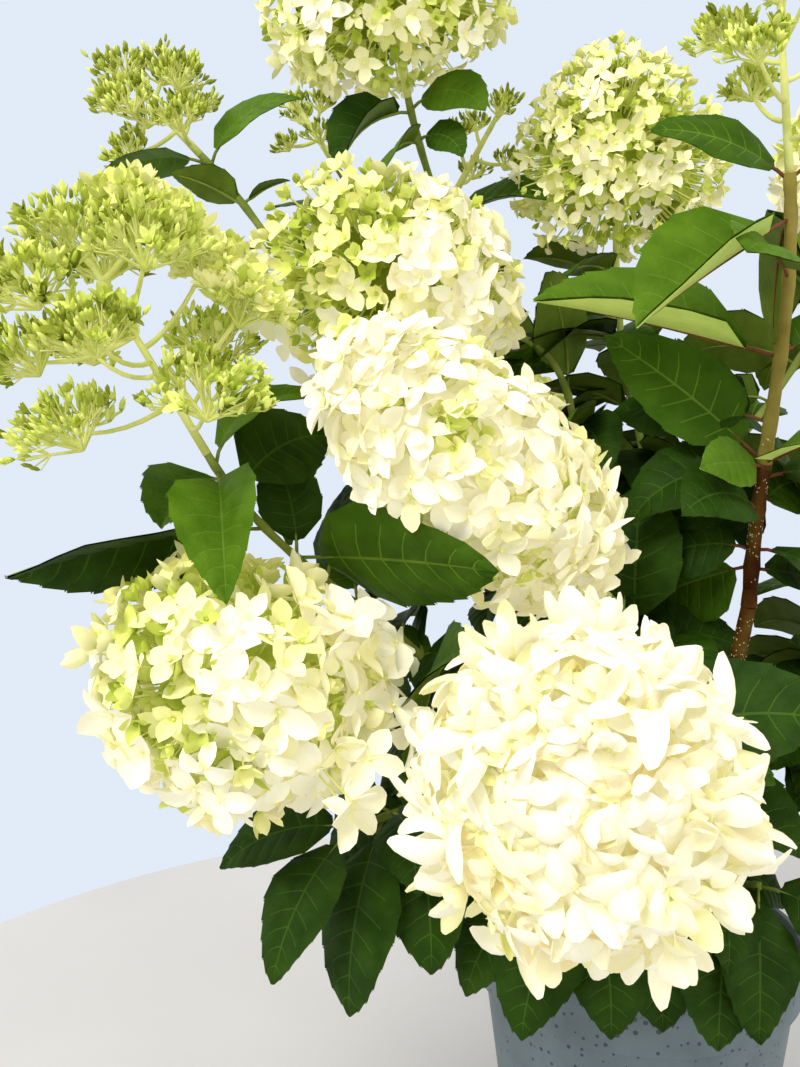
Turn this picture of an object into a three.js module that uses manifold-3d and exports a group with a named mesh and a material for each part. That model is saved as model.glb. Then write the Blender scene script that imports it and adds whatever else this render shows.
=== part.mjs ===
// A panicle hydrangea in a nursery pot, in millimetres.
// +Z is up and -Y is the front. The origin is the centre of the pot's flat underside.
// Woody boughs rise from a low stool in the potting mix. Each fork carries leafy shoots, and each shoot
// ends in one flower head. Leaves sit in opposite pairs, each pair a quarter turn on from the last.

import * as THREE from "three";
import { mergeVertices } from "three/addons/utils/BufferGeometryUtils.js";
import Module from "manifold-3d";

const wasm = await Module();
wasm.setup();

// Pot
const POT_HEIGHT = 240;
const RIM_RADIUS = 132;
const RIM_BAND = 40;
const BODY_TOP_RADIUS = 129.5;
const BASE_RADIUS = 98;
const WALL = 3.2;
const FLOOR = 4;
const POT_SIDES = 30;
const DRAIN_HOLES = 6;
const DRAIN_RADIUS = 7;
const DRAIN_RING = 68;
const BAND_STEP = 2.5;
const LIP_DROP = 2;
const LIP_EASE = 1;

// Potting mix and stool
const GAP = 0.3;
const MIX_TOP = 212;
const MIX_INSET = 0.9;
const STOOL_HEIGHT = 40;
const STOOL_FOOT_RADIUS = 33;
const COLLAR_REACH = 36;
const COLLAR_MARGIN = 0.6;

// The stool narrows upwards: shares of its foot's radius at shares of its height
const STOOL_PROFILE = [[1, 0], [0.72, 0.22], [0.58, 0.7], [0.4, 1]];

// Boughs and shoots
const FORK_REACH = 13;
const FORK_MARGIN = 0.3;
const FORK_LIFT = 0.35;
const BOUGH_SIDES = 6;
const SHOOT_SIDES = 5;
const LIMB_STEPS = 5;
const SHOOT_RADII = [3.4, 2.6];
const STOUT_RADII = [5, 3.6];

// How far a limb's line runs on in its first and its last direction, as shares of its span
const BEND_LEAVING = 0.4;
const BEND_ARRIVING = 0.35;

// Leaves
const LEAF_STATIONS = [0.14, 0.38, 0.74];
const LEAF_THICKNESS = 0.014;
const LEAF_WIDTH = 0.54;
const LEAF_FOLD = 0.09;
const PETIOLE_SHARE = 0.14;
const PETIOLE_RADIUS = 1.5;
const BLADE_FOOT_POWER = 0.6;
const BLADE_TIP_POWER = 0.95;
const BLADE_PEAK = 0.355;

// Seeded variety of the leaves, in degrees, and the least and greatest share of a pair's length
const PLACED_ROLL = 8;
const PAIR_TURN = 7;
const PAIR_RISE = 34;
const PAIR_RISE_SPREAD = 7;
const PAIR_ROLL = 12;
const PAIR_LENGTH = [0.92, 1.06];

// How a leaf leans to the light: how far outward the light comes from, the share of the way that the leaf
// turns to it, and its greatest turn in radians
const LEAN_SAMPLE = 0.6;
const LEAN_OUT = 1.6;
const LEAN = 0.85;
const LEAN_MOST = 1.2;

// How a leaf that meets a flower head is steered past it
const STEER_TRIES = 5;
const STEER_DROOP = 18;
const STEER_LENGTH = 0.93;
const STEER_SAMPLES = [0.4, 0.6, 0.8, 1];

// Flower heads
const CORE_SHARE = 0.82;
const CORE_SIDES = 8;
const CORE_RINGS = 6;
const STALK = 9;
const STALK_RADII = [2.8, 1.6];
const STALK_SIDES = 5;
const STALK_SINK = 0.3;
const NOTCH_SHARE = 0.5;
const NOTCH_DEPTH = 0.13;
const FLORET_ROOT = 0.62;
const FLORET_SIZE = [0.86, 1.16];
const GOLDEN_TURN = THREE.MathUtils.degToRad(137.508);

// Heads in bud: where side branches leave the stalk, how far they spread and how far they climb
const BUD_FOOT = 0.1;
const BUD_TOP = 0.86;
const BUD_STALK = 0.9;
const BUD_NARROWING = 0.42;
const BUD_SPREAD = [0.8, 1.1];
const BUD_CLIMB = [0.096, 0.224];
const BUD_SIZE = [0.85, 1.15];
const TOP_BUD_SPREAD = 3;
const BUNCH_SIDES = 5;

// The outline of a side branch: radii at places along it, in millimetres or shares of the bunch's size
const BRANCH_RADII = [1.7, 1.3];
const BRANCH_THICK_AT = 3;
const BUNCH_FOOT = 0.5;
const BUNCH_WIDEST = [0.86, 0.3];
const BUNCH_TOP = 0.75;

// Least clearance between pieces of different nodes
const CLEARANCE = 0.28;
const HEAD_MARGIN = 12;

// Corners nearer than this are merged, and joined solids are simplified by this much
const MERGE = 1e-3;
const SIMPLIFY = 0.02;

const UP = new THREE.Vector3(0, 0, 1);
const ACROSS = new THREE.Vector3(1, 0, 0);

// A direction whose level part is shorter than this counts as upright, and one that rises more is steep
const NEAR_UPRIGHT = 0.2;
const STEEP = 0.8;
const { degToRad, lerp } = THREE.MathUtils;

// Boughs leave the stool at a heading (degrees from +X towards +Y) and a rise, and end at a fork.
const BOUGHS = {
  bough_front: { heading: -98, rise: 48, fork: [-16, -88, 318], radii: [6, 4.4] },
  bough_left: { heading: -170, rise: 52, fork: [-112, -62, 396], radii: [6, 4.4] },
  bough_middle: { heading: -140, rise: 66, fork: [-44, -40, 436], radii: [6, 4.2] },
  bough_back_left: { heading: 146, rise: 62, fork: [-116, 30, 560], radii: [6.2, 4.2] },
  bough_back: { heading: 100, rise: 55, fork: [-24, 112, 424], radii: [6, 4.2] },
  bough_back_right: { heading: 56, rise: 66, fork: [20, 50, 570], radii: [6.2, 4.2] },
  bough_right: { heading: 8, rise: 55, fork: [118, 6, 404], radii: [6, 4.4] },
  bough_speckled: { heading: -46, rise: 62, fork: [50, -110, 522], radii: [7, 5.4] },
};

// Each shoot runs from its bough's fork to the foot of its flower head and on to the head's tip.
// leaves: [share of the shoot's length, the leaf tip's place, how far the leaf bends down in degrees,
// and its roll about its midrib in degrees, positive to face right as seen along the leaf].
// A leaf with no roll of its own leans to the light.
// pairs: [share, heading, leaf length, bend] for two leaves, one along the heading and one opposite to it.
const SHOOTS = [
  {
    name: "front_low", bough: "bough_front",
    start: [-0.2, -0.5, 0.85], foot: [-54, -196, 440], tip: [-134, -366, 452],
    head: { kind: "bloom", radius: 101, skew: 0.06, florets: 26, size: 37 },
    leaves: [[0.5, [66, -196, 372], 60], [0.94, [70, -232, 470], 50]],
    pairs: [[0.2, 205, 112, 70], [0.72, 160, 100, 70]],
  },
  {
    name: "left_low", bough: "bough_left",
    start: [-0.62, -0.7, 0.2], foot: [-202, -146, 440], tip: [-380, -222, 522],
    head: { kind: "bloom", radius: 84, skew: -0.04, florets: 20, size: 31 },
    leaves: [[0.8, [-156, -222, 512], 60]],
    pairs: [[0.2, 150, 100, 70], [0.5, 255, 104, 80], [0.86, 115, 98, 70]],
  },
  {
    name: "left_buds", bough: "bough_left",
    start: [-0.55, 0.2, 0.8], foot: [-319, -165, 629], tip: [-394, -202, 766],
    head: { kind: "buds", radius: 90, branches: 13, size: 23 },
    leaves: [[0.96, [-295, -248, 544], 37, 15], [0.97, [-249, -150, 666], 100, 20],
      [0.93, [-364, -99, 575], 79, -105], [0.8, [-440, -199, 553], 22, -147],
      [0.7, [-138, -242, 562], 8, 125], [0.5, [-250, -24, 566], 70], [0.9, [-243, -80, 640], 60, 55],
      [0.7, [-286, -112, 634], 40], [0.6, [-235, -52, 604], 40]],
    pairs: [[0.2, 165, 100, 60], [0.36, 80, 108, 60]],
  },
  {
    name: "middle", bough: "bough_middle",
    start: [0.5, -0.6, 0.6], foot: [-50, -120, 530], tip: [-238, -222, 700],
    head: { kind: "bloom", radius: 67, skew: 0.02, florets: 24, size: 31 },
    leaves: [[0.6, [-16, -60, 606], 70]],
    pairs: [[0.2, 130, 96, 60], [0.44, 10, 92, 70], [0.86, 75, 96, 60]],
  },
  {
    name: "upper", bough: "bough_middle",
    start: [-0.25, 0.45, 0.85], foot: [-106, -40, 716], tip: [-290, -120, 784],
    head: { kind: "bloom", radius: 77, skew: 0.02, florets: 18, size: 27 },
    leaves: [[0.5, [-218, -68, 520], 60], [0.78, [-89, -60, 760], 60]],
    pairs: [[0.14, 120, 100, 60], [0.32, 190, 108, 60], [0.62, 80, 104, 60]],
  },
  {
    name: "top", bough: "bough_back_left",
    start: [0.15, -0.45, 0.9], foot: [-189, -42, 888], tip: [-222, -60, 1036],
    head: { kind: "bloom", radius: 90, skew: 0.28, florets: 18, size: 26 },
    leaves: [[0.97, [-238, -74, 828], 73, -20], [0.975, [-135, -82, 868], 90], [0.9, [-206, -88, 824], 70],
      [0.91, [-150, -66, 840], 90]],
    pairs: [[0.18, 110, 100, 60], [0.4, 185, 106, 60], [0.64, 100, 100, 60]],
  },
  {
    name: "left_high", bough: "bough_back_left",
    start: [-0.75, -0.1, 0.6], foot: [-346, -20, 853], tip: [-400, -32, 908],
    head: { kind: "buds", radius: 46, branches: 9, size: 14 },
    leaves: [[0.975, [-431, -32, 819], 70, -171], [0.97, [-270, -11, 897], 79, 32], [0.86, [-366, -34, 836], 30],
      [0.87, [-279, -12, 836], 40], [0.76, [-361, -2, 770], 50], [0.77, [-262, 4, 790], 60],
      [0.42, [-277, -66, 560], 80]],
    pairs: [[0.2, 170, 100, 60], [0.58, 100, 96, 60]],
  },
  {
    name: "small_left", bough: "bough_back_left",
    start: [-0.3, 0.75, 0.6], foot: [-246, 42, 858], tip: [-282, 42, 913],
    head: { kind: "buds", radius: 30, branches: 6, size: 9 },
    leaves: [],
    pairs: [[0.2, 60, 100, 60], [0.42, 150, 100, 50], [0.64, 70, 96, 50], [0.86, 160, 92, 40]],
  },
  {
    name: "right_top", bough: "bough_back_right",
    start: [-0.25, -0.55, 0.8], foot: [-22, 20, 774], tip: [-28, 10, 946],
    head: { kind: "bloom", radius: 82, skew: 0.3, florets: 18, size: 25 },
    leaves: [[0.97, [-76, -30, 756], 70], [0.93, [-94, 44, 786], 50], [0.8, [-89, 0, 718], 60, -30]],
    pairs: [[0.18, 100, 104, 60], [0.42, 190, 104, 60], [0.68, 275, 100, 60]],
  },
  {
    name: "small_right", bough: "bough_back_right",
    start: [-0.85, 0.25, 0.5], foot: [-153, 32, 832], tip: [-112, 24, 905],
    head: { kind: "buds", radius: 32, branches: 6, size: 9 },
    leaves: [[0.92, [-84, -26, 820], 50]],
    pairs: [[0.24, 60, 96, 60], [0.52, 120, 92, 50], [0.76, 35, 92, 50]],
  },
  {
    name: "far_right_top", bough: "bough_back_right",
    start: [0.75, 0.3, 0.6], foot: [190, 92, 800], tip: [238, 110, 960],
    head: { kind: "bloom", radius: 76, skew: 0.3, florets: 10, size: 34 },
    leaves: [],
    pairs: [[0.16, -30, 104, 60], [0.38, 60, 108, 60], [0.62, -30, 108, 60], [0.9, 55, 100, 60]],
  },
  {
    name: "right_buds", bough: "bough_speckled",
    start: [0, -0.12, 1], foot: [50, -166, 806], tip: [30, -188, 938],
    head: { kind: "buds", radius: 54, branches: 9, size: 13 },
    leaves: [[0.06, [-7, -37, 515], 10, -117], [0.31, [-5, -177, 621], 19, -61],
      [0.32, [66, -205, 640], 10, 30], [0.33, [72, -49, 550], 90, -133],
      [0.32, [-51, -88, 712], 13, -61], [0.42, [-33, -34, 658], 30],
      [0.58, [-108, -140, 730], 8, -23], [0.59, [126, -110, 706], 40],
      [0.9, [-54, -210, 705], 8, -14], [0.91, [66, -98, 704], 96],
      [0.98, [-38, -166, 832], 46, -45], [0.985, [128, -150, 828], 46],
      [0.05, [112, -110, 532], 30], [0.34, [108, -70, 553], 80], [0.2, [-9, -60, 579], 40]],
    pairs: [[0.2, 40, 100, 60], [0.76, 60, 96, 60]],
  },
  {
    name: "right_low", bough: "bough_right",
    start: [0.62, -0.72, 0.2], foot: [192, -98, 500], tip: [258, -190, 590],
    head: { kind: "bloom", radius: 80, skew: 0.12, florets: 10, size: 38 },
    leaves: [[0.8, [118, -60, 440], 60], [0.62, [123, -132, 350], 70], [0.3, [98, -60, 489], 60]],
    pairs: [[0.2, 60, 104, 70], [0.44, -10, 108, 80], [0.84, 80, 104, 60]],
  },
  {
    name: "right_side", bough: "bough_right",
    start: [0.75, 0.4, 0.5], foot: [226, 70, 560], tip: [330, 96, 668],
    head: { kind: "bloom", radius: 78, skew: 0.14, florets: 10, size: 36 },
    leaves: [],
    pairs: [[0.14, 20, 104, 70], [0.38, 110, 110, 70], [0.64, 20, 112, 60], [0.9, 95, 100, 60]],
  },
  {
    name: "back_middle", bough: "bough_back",
    start: [0.1, 0.55, 0.8], foot: [-82, 196, 560], tip: [-106, 262, 700],
    head: { kind: "bloom", radius: 80, skew: 0.18, florets: 10, size: 36 },
    leaves: [],
    pairs: [[0.16, 100, 104, 60], [0.4, 180, 110, 60], [0.68, 90, 108, 70], [0.92, 5, 98, 60]],
  },
  {
    name: "back_upper", bough: "bough_back",
    start: [-0.75, 0.15, 0.6], foot: [-196, 168, 716], tip: [-222, 214, 858],
    head: { kind: "bloom", radius: 74, skew: 0.22, florets: 10, size: 34 },
    leaves: [],
    pairs: [[0.14, 120, 104, 60], [0.36, 200, 112, 60], [0.62, 105, 106, 70], [0.9, 20, 100, 60]],
  },
  {
    name: "back_low", bough: "bough_back",
    start: [0.6, 0.7, 0.2], foot: [36, 220, 400], tip: [66, 340, 446],
    head: { kind: "bloom", radius: 80, skew: 0.1, florets: 10, size: 38 },
    leaves: [],
    pairs: [[0.3, 0, 108, 80], [0.62, 90, 104, 80], [0.88, 0, 100, 70]],
  },
];

// Low shoots with no flower, whose leaves hang over the rim
const SKIRTS = [
  {
    name: "skirt_front", bough: "bough_front",
    start: [-0.85, -0.45, 0.1], foot: [-74, -148, 338],
    leaves: [[0.97, [-116, -192, 249], 60], [0.8, [-59, -196, 252], 90], [0.95, [-150, -160, 262], 80],
      [0.5, [-22, -182, 249], 90]],
    pairs: [],
  },
  {
    name: "skirt_right", bough: "bough_front",
    start: [0.85, -0.45, 0.1], foot: [52, -146, 334],
    leaves: [[0.7, [12, -192, 242], 90], [0.97, [37, -196, 249], 70], [0.95, [118, -170, 262], 90]],
    pairs: [],
  },
  {
    name: "skirt_left", bough: "bough_left",
    start: [-0.85, -0.3, -0.35], foot: [-232, -136, 368],
    leaves: [[0.97, [-278, -190, 286], 56], [0.76, [-229, -168, 252], 60], [0.55, [-174, -175, 285], 80],
      [0.95, [-322, -122, 336], 60]],
    pairs: [],
  },
  {
    name: "skirt_far_right", bough: "bough_right",
    start: [0.65, -0.1, -0.6], foot: [170, -40, 340],
    leaves: [[0.95, [196, -110, 262], 80], [0.97, [246, -22, 280], 70], [0.5, [128, -112, 286], 90]],
    pairs: [],
  },
  {
    name: "skirt_back", bough: "bough_back",
    start: [-0.7, 0.6, -0.3], foot: [-92, 176, 352],
    leaves: [[0.97, [-140, 240, 272], 70], [0.95, [-40, 230, 262], 80], [0.6, [-150, 116, 290], 70],
      [0.8, [-176, 176, 300], 70]],
    pairs: [],
  },
  {
    name: "skirt_back_right", bough: "bough_back",
    start: [0.85, 0.15, -0.4], foot: [76, 150, 344],
    leaves: [[0.97, [96, 216, 262], 70], [0.95, [150, 132, 262], 80], [0.6, [20, 196, 272], 80]],
    pairs: [],
  },
];

// A repeatable sequence of numbers from 0 to 1
function dice(seed) {
  let state = seed;
  return () => {
    state = (state * 16807) % 2147483647;
    return state / 2147483647;
  };
}

function vector(values) {
  return new THREE.Vector3(...values);
}

function direction(heading, rise) {
  const flat = Math.cos(rise);
  return new THREE.Vector3(flat * Math.cos(heading), flat * Math.sin(heading), Math.sin(rise));
}

function outline(pairs) {
  return pairs.map(([radius, height]) => new THREE.Vector2(radius, height));
}

// A closed geometry as a solid, with its shared corners merged
function solidOf(geometry) {
  const bare = new THREE.BufferGeometry();
  bare.setAttribute("position", geometry.getAttribute("position"));
  bare.setIndex(geometry.index);
  const merged = mergeVertices(bare, MERGE);
  return new wasm.Manifold(new wasm.Mesh({
    numProp: 3,
    vertProperties: merged.attributes.position.array,
    triVerts: new Uint32Array(merged.index.array),
  }));
}

function geometryOf(solid) {
  const mesh = solid.getMesh();
  const geometry = new THREE.BufferGeometry();
  geometry.setAttribute("position", new THREE.BufferAttribute(mesh.vertProperties, 3));
  geometry.setIndex(new THREE.BufferAttribute(mesh.triVerts, 1));
  geometry.computeVertexNormals();
  return geometry;
}

function faceted(points, faces) {
  const geometry = new THREE.BufferGeometry().setFromPoints(points);
  geometry.setIndex(faces.flat());
  return solidOf(geometry);
}

// Joins solids and keeps the largest body, so that a loose scrap is dropped
function fuse(solids) {
  const bodies = wasm.Manifold.union(solids).simplify(SIMPLIFY).decompose();
  return bodies.reduce((a, b) => (b.volume() > a.volume() ? b : a));
}

// A tapering limb: a cylinder whose rows of vertices are laid along a curve
function limb(path, rootRadius, tipRadius, sides, steps) {
  const cylinder = new THREE.CylinderGeometry(tipRadius, rootRadius, 1, sides, steps);
  const frames = path.computeFrenetFrames(steps, false);
  const position = cylinder.getAttribute("position");
  for (let i = 0; i < position.count; i++) {
    const row = Math.round((position.getY(i) + 0.5) * steps);
    const point = path.getPointAt(row / steps);
    point.addScaledVector(frames.normals[row], position.getZ(i));
    point.addScaledVector(frames.binormals[row], position.getX(i));
    position.setXYZ(i, point.x, point.y, point.z);
  }
  return solidOf(cylinder);
}

function stub(from, towards, length, radius, sides) {
  const end = from.clone().addScaledVector(towards, length);
  return limb(new THREE.LineCurve3(from, end), radius, radius, sides, 1);
}

// Turns a shape that was made upright along Y to stand at a foot along an axis
function standing(geometry, foot, axis) {
  const turn = new THREE.Quaternion().setFromUnitVectors(new THREE.Vector3(0, 1, 0), axis);
  return geometry.applyQuaternion(turn).translate(foot.x, foot.y, foot.z);
}

// A smooth limb line that leaves one point and reaches the next in set directions
function bend(from, leaving, to, arriving) {
  const span = from.distanceTo(to);
  return new THREE.CubicBezierCurve3(
    from,
    from.clone().addScaledVector(leaving, BEND_LEAVING * span),
    to.clone().addScaledVector(arriving, -BEND_ARRIVING * span),
    to,
  );
}

// Half width of a leaf blade, as a share of its widest, from its petiole (0) to its tip (1)
function bladeShare(u) {
  return (u ** BLADE_FOOT_POWER * (1 - u) ** BLADE_TIP_POWER) / BLADE_PEAK;
}

// The midrib leaves its root at a rise and bends down by its droop, along an arc in an upright plane
function midrib(leaf, t) {
  const droop = degToRad(leaf.droop);
  const pitch = leaf.rise - droop * t;
  const out = (leaf.length * (Math.sin(leaf.rise) - Math.sin(pitch))) / droop;
  const up = (leaf.length * (Math.cos(pitch) - Math.cos(leaf.rise))) / droop;
  const flat = direction(leaf.heading, 0);
  const point = leaf.root.clone().addScaledVector(flat, out).addScaledVector(UP, up);
  const tangent = direction(leaf.heading, pitch);
  const side = new THREE.Vector3(-flat.y, flat.x, 0).applyAxisAngle(tangent, leaf.roll);
  return { point, side, normal: tangent.clone().cross(side) };
}

// A leaf with a keel along its midrib, sharp edges, and a petiole that starts inside its stem
function leafSolid(leaf) {
  const keel = LEAF_THICKNESS * leaf.length;
  const points = [leaf.root.clone()];
  for (const t of LEAF_STATIONS) {
    const { point, side, normal } = midrib(leaf, t);
    const u = Math.max(0, (t - PETIOLE_SHARE) / (1 - PETIOLE_SHARE));
    const half = Math.max(PETIOLE_RADIUS, 0.5 * LEAF_WIDTH * leaf.length * bladeShare(u));
    const fold = u > 0 ? LEAF_FOLD * half : 0.5 * PETIOLE_RADIUS;
    const edge = point.clone().addScaledVector(normal, fold);
    points.push(
      edge.clone().addScaledVector(side, -half),
      point.clone().addScaledVector(normal, -keel),
      edge.clone().addScaledVector(side, half),
    );
  }
  points.push(midrib(leaf, 1).point);
  const faces = [];
  const corner = (station, k) => 1 + 3 * station + (k % 3);
  const last = LEAF_STATIONS.length - 1;
  for (let k = 0; k < 3; k++) {
    faces.push([0, corner(0, k + 1), corner(0, k)]);
    for (let s = 0; s < last; s++) {
      faces.push([corner(s, k), corner(s, k + 1), corner(s + 1, k)]);
      faces.push([corner(s, k + 1), corner(s + 1, k + 1), corner(s + 1, k)]);
    }
    faces.push([corner(last, k), corner(last, k + 1), points.length - 1]);
  }
  return faceted(points, faces);
}

// The outline of a bloom: an egg from its foot (angle 0) to its tip (angle pi)
function eggRadius(head, angle) {
  return head.radius * Math.sin(angle) * (1 + head.skew * Math.cos(angle));
}

function frameOf(shoot) {
  const foot = vector(shoot.foot);
  const axis = vector(shoot.tip).sub(foot).normalize();
  const across = new THREE.Vector3(-axis.y, axis.x, 0);
  if (across.length() < NEAR_UPRIGHT) across.set(1, 0, 0);
  across.addScaledVector(axis, -across.dot(axis)).normalize();
  const third = axis.clone().cross(across);
  return { foot, axis, across, third, length: foot.distanceTo(vector(shoot.tip)) };
}

function around(frame, along, radius, turn) {
  return frame.foot.clone()
    .addScaledVector(frame.axis, along)
    .addScaledVector(frame.across, radius * Math.cos(turn))
    .addScaledVector(frame.third, radius * Math.sin(turn));
}

// A four-petalled floret: ridged petals round a stem that narrows to a point inside the core
function floretSolid(centre, inner, size, spin) {
  const normal = centre.clone().sub(inner).normalize();
  const aside = Math.abs(normal.z) > STEEP ? ACROSS : UP;
  const first = normal.clone().cross(aside).normalize().applyAxisAngle(normal, spin);
  const second = normal.clone().cross(first);
  const points = [inner, centre];
  for (let k = 0; k < 8; k++) {
    const turn = (k * Math.PI) / 4;
    const reach = k % 2 ? NOTCH_SHARE * size : size;
    const point = centre.clone();
    point.addScaledVector(first, reach * Math.cos(turn)).addScaledVector(second, reach * Math.sin(turn));
    points.push(point.addScaledVector(normal, k % 2 ? -NOTCH_DEPTH * size : 0));
  }
  const faces = [];
  for (let k = 0; k < 8; k += 2) {
    const tip = 2 + k;
    const after = 2 + ((k + 1) % 8);
    const before = 2 + ((k + 7) % 8);
    faces.push([1, before, tip], [1, tip, after], [after, tip, before], [0, after, before]);
  }
  return faceted(points, faces);
}

// The middle of a bloom: a solid core on its stalk
function coreSolid(shoot) {
  const frame = frameOf(shoot);
  const body = frame.length - STALK;
  const profile = [];
  for (let i = 0; i <= CORE_RINGS; i++) {
    const angle = (i / CORE_RINGS) * Math.PI;
    const radius = i % CORE_RINGS ? CORE_SHARE * eggRadius(shoot.head, angle) : 0;
    profile.push(new THREE.Vector2(radius, STALK + body * (0.5 - 0.5 * CORE_SHARE * Math.cos(angle))));
  }
  const core = standing(new THREE.LatheGeometry(profile, CORE_SIDES), frame.foot, frame.axis);
  const stalkFoot = around(frame, GAP, 0, 0);
  const stalkLength = STALK + STALK_SINK * body;
  return fuse([solidOf(core), stub(stalkFoot, frame.axis, stalkLength, STALK_RADII[0], STALK_SIDES)]);
}

// The florets of a bloom stand out of its core on a golden-angle spiral
function bloomFlorets(shoot) {
  const frame = frameOf(shoot);
  const { head } = shoot;
  const body = frame.length - STALK;
  const roll = dice(shoot.foot[2] * 7 + 11);
  return Array.from({ length: head.florets }, (_, i) => {
    const angle = Math.acos(1 - (2 * (i + 0.5)) / head.florets);
    const turn = i * GOLDEN_TURN;
    const size = head.size * lerp(...FLORET_SIZE, roll());
    const along = STALK + body * (0.5 - 0.5 * Math.cos(angle));
    const inside = STALK + body * (0.5 - 0.5 * FLORET_ROOT * Math.cos(angle));
    const centre = around(frame, along, eggRadius(head, angle), turn);
    const inner = around(frame, inside, FLORET_ROOT * eggRadius(head, angle), turn);
    return floretSolid(centre, inner, size, roll() * Math.PI);
  });
}

// A side branch that widens into a blunt bunch of buds
function branchSolid(from, to, size) {
  const along = to.clone().sub(from);
  const reach = along.length();
  const profile = outline([
    [0, 0],
    [BRANCH_RADII[0], BRANCH_THICK_AT],
    [BRANCH_RADII[1], reach - BUNCH_FOOT * size],
    [BUNCH_WIDEST[0] * size, reach + BUNCH_WIDEST[1] * size],
    [0, reach + BUNCH_TOP * size],
  ]);
  return solidOf(standing(new THREE.LatheGeometry(profile, BUNCH_SIDES), from, along.normalize()));
}

// A head in bud: side branches spiral up a stalk
function budPieces(shoot) {
  const frame = frameOf(shoot);
  const { head } = shoot;
  const stalkTop = around(frame, BUD_STALK * frame.length, 0, 0);
  const stalk = new THREE.LineCurve3(around(frame, GAP, 0, 0), stalkTop);
  const pieces = [limb(stalk, ...STALK_RADII, STALK_SIDES, 1)];
  const roll = dice(shoot.foot[2] * 5 + 3);
  for (let i = 0; i < head.branches; i++) {
    const share = (i + 0.5) / head.branches;
    const isLast = i === head.branches - 1;
    const along = frame.length * lerp(BUD_FOOT, BUD_TOP, share);
    const spread = head.radius * lerp(1, BUD_NARROWING, share) * lerp(...BUD_SPREAD, roll());
    const climb = frame.length * lerp(...BUD_CLIMB, roll());
    const end = around(frame, along + climb, isLast ? TOP_BUD_SPREAD : spread, i * GOLDEN_TURN);
    pieces.push(branchSolid(around(frame, along, 0, 0), end, head.size * lerp(...BUD_SIZE, roll())));
  }
  return pieces;
}

// What is already in place, so that a new leaf or floret can be kept clear of every other node
const taken = [];

function grown(box) {
  return new THREE.Box3(vector(box.min), vector(box.max)).expandByScalar(CLEARANCE);
}

function claim(owner, solid) {
  taken.push({ owner, solid, box: grown(solid.boundingBox()) });
}

function isClear(owner, solid) {
  const box = grown(solid.boundingBox());
  return taken.every((other) =>
    other.owner === owner || !other.box.intersectsBox(box) ||
    other.solid.minGap(solid, CLEARANCE) >= CLEARANCE);
}

// Claims and returns the pieces that stay clear of every other node
function grow(owner, pieces) {
  const kept = pieces.filter((piece) => isClear(owner, piece));
  kept.forEach((piece) => claim(owner, piece));
  return kept;
}

const hydrangea = new THREE.Group();
const finish = {
  pot: new THREE.MeshStandardMaterial({ color: 0x7d8f99, roughness: 0.55 }),
  mix: new THREE.MeshStandardMaterial({ color: 0x2a211a, roughness: 0.95 }),
  bark: new THREE.MeshStandardMaterial({ color: 0x6b4a2c, roughness: 0.7 }),
  leaf: new THREE.MeshStandardMaterial({ color: 0x3f6d1e, roughness: 0.5 }),
  bloom: new THREE.MeshStandardMaterial({ color: 0xf4f2d8, roughness: 0.6 }),
  bud: new THREE.MeshStandardMaterial({ color: 0xb9cc63, roughness: 0.6 }),
};

function addNode(name, solid, material) {
  const mesh = new THREE.Mesh(geometryOf(solid), material);
  mesh.name = name;
  hydrangea.add(mesh);
}

function outerRadius(z) {
  return lerp(BASE_RADIUS, BODY_TOP_RADIUS, z / POT_HEIGHT);
}

function innerRadius(z) {
  return outerRadius(z) - WALL;
}

function potSolid() {
  const bandFoot = POT_HEIGHT - RIM_BAND;
  const profile = outline([
    [0, 0],
    [outerRadius(0), 0],
    [outerRadius(bandFoot), bandFoot],
    [RIM_RADIUS - BAND_STEP, bandFoot],
    [RIM_RADIUS, POT_HEIGHT - LIP_DROP],
    [RIM_RADIUS - LIP_EASE, POT_HEIGHT],
    [innerRadius(POT_HEIGHT), POT_HEIGHT],
    [innerRadius(FLOOR), FLOOR],
    [0, FLOOR],
  ]);
  const shell = new THREE.LatheGeometry(profile, POT_SIDES);
  shell.rotateX(Math.PI / 2);
  let pot = solidOf(shell);
  for (let i = 0; i < DRAIN_HOLES; i++) {
    const turn = (i / DRAIN_HOLES) * 2 * Math.PI;
    const hole = new THREE.CylinderGeometry(DRAIN_RADIUS, DRAIN_RADIUS, 4 * FLOOR, 6);
    hole.rotateX(Math.PI / 2);
    hole.translate(DRAIN_RING * Math.cos(turn), DRAIN_RING * Math.sin(turn), 0);
    pot = pot.subtract(solidOf(hole));
  }
  return pot;
}

function mixSolid() {
  const low = FLOOR + GAP;
  const profile = outline([
    [0, low],
    [innerRadius(low) - MIX_INSET, low],
    [innerRadius(MIX_TOP) - MIX_INSET, MIX_TOP],
    [0, MIX_TOP],
  ]);
  return solidOf(new THREE.LatheGeometry(profile, POT_SIDES).rotateX(Math.PI / 2));
}

const STOOL_HEART = new THREE.Vector3(0, 0, MIX_TOP + 0.5 * STOOL_HEIGHT);

function leavingOf(bough) {
  return direction(degToRad(bough.heading), degToRad(bough.rise));
}

// The stool: a flared foot, cut flat at the mix, with a collar for each bough
function stoolSolid() {
  const foot = MIX_TOP + GAP;
  const shares = [...STOOL_PROFILE, [0, 1]];
  const steps = shares.map(([wide, high]) => [wide * STOOL_FOOT_RADIUS, foot + high * STOOL_HEIGHT]);
  const profile = outline([[0, foot], ...steps]);
  const foothold = new THREE.LatheGeometry(profile, 2 * BOUGH_SIDES).rotateX(Math.PI / 2);
  const collars = Object.values(BOUGHS).map((bough) => {
    const radius = bough.radii[0] + COLLAR_MARGIN;
    return stub(STOOL_HEART, leavingOf(bough), COLLAR_REACH - GAP, radius, BOUGH_SIDES);
  });
  return fuse([solidOf(foothold), ...collars]);
}

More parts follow.
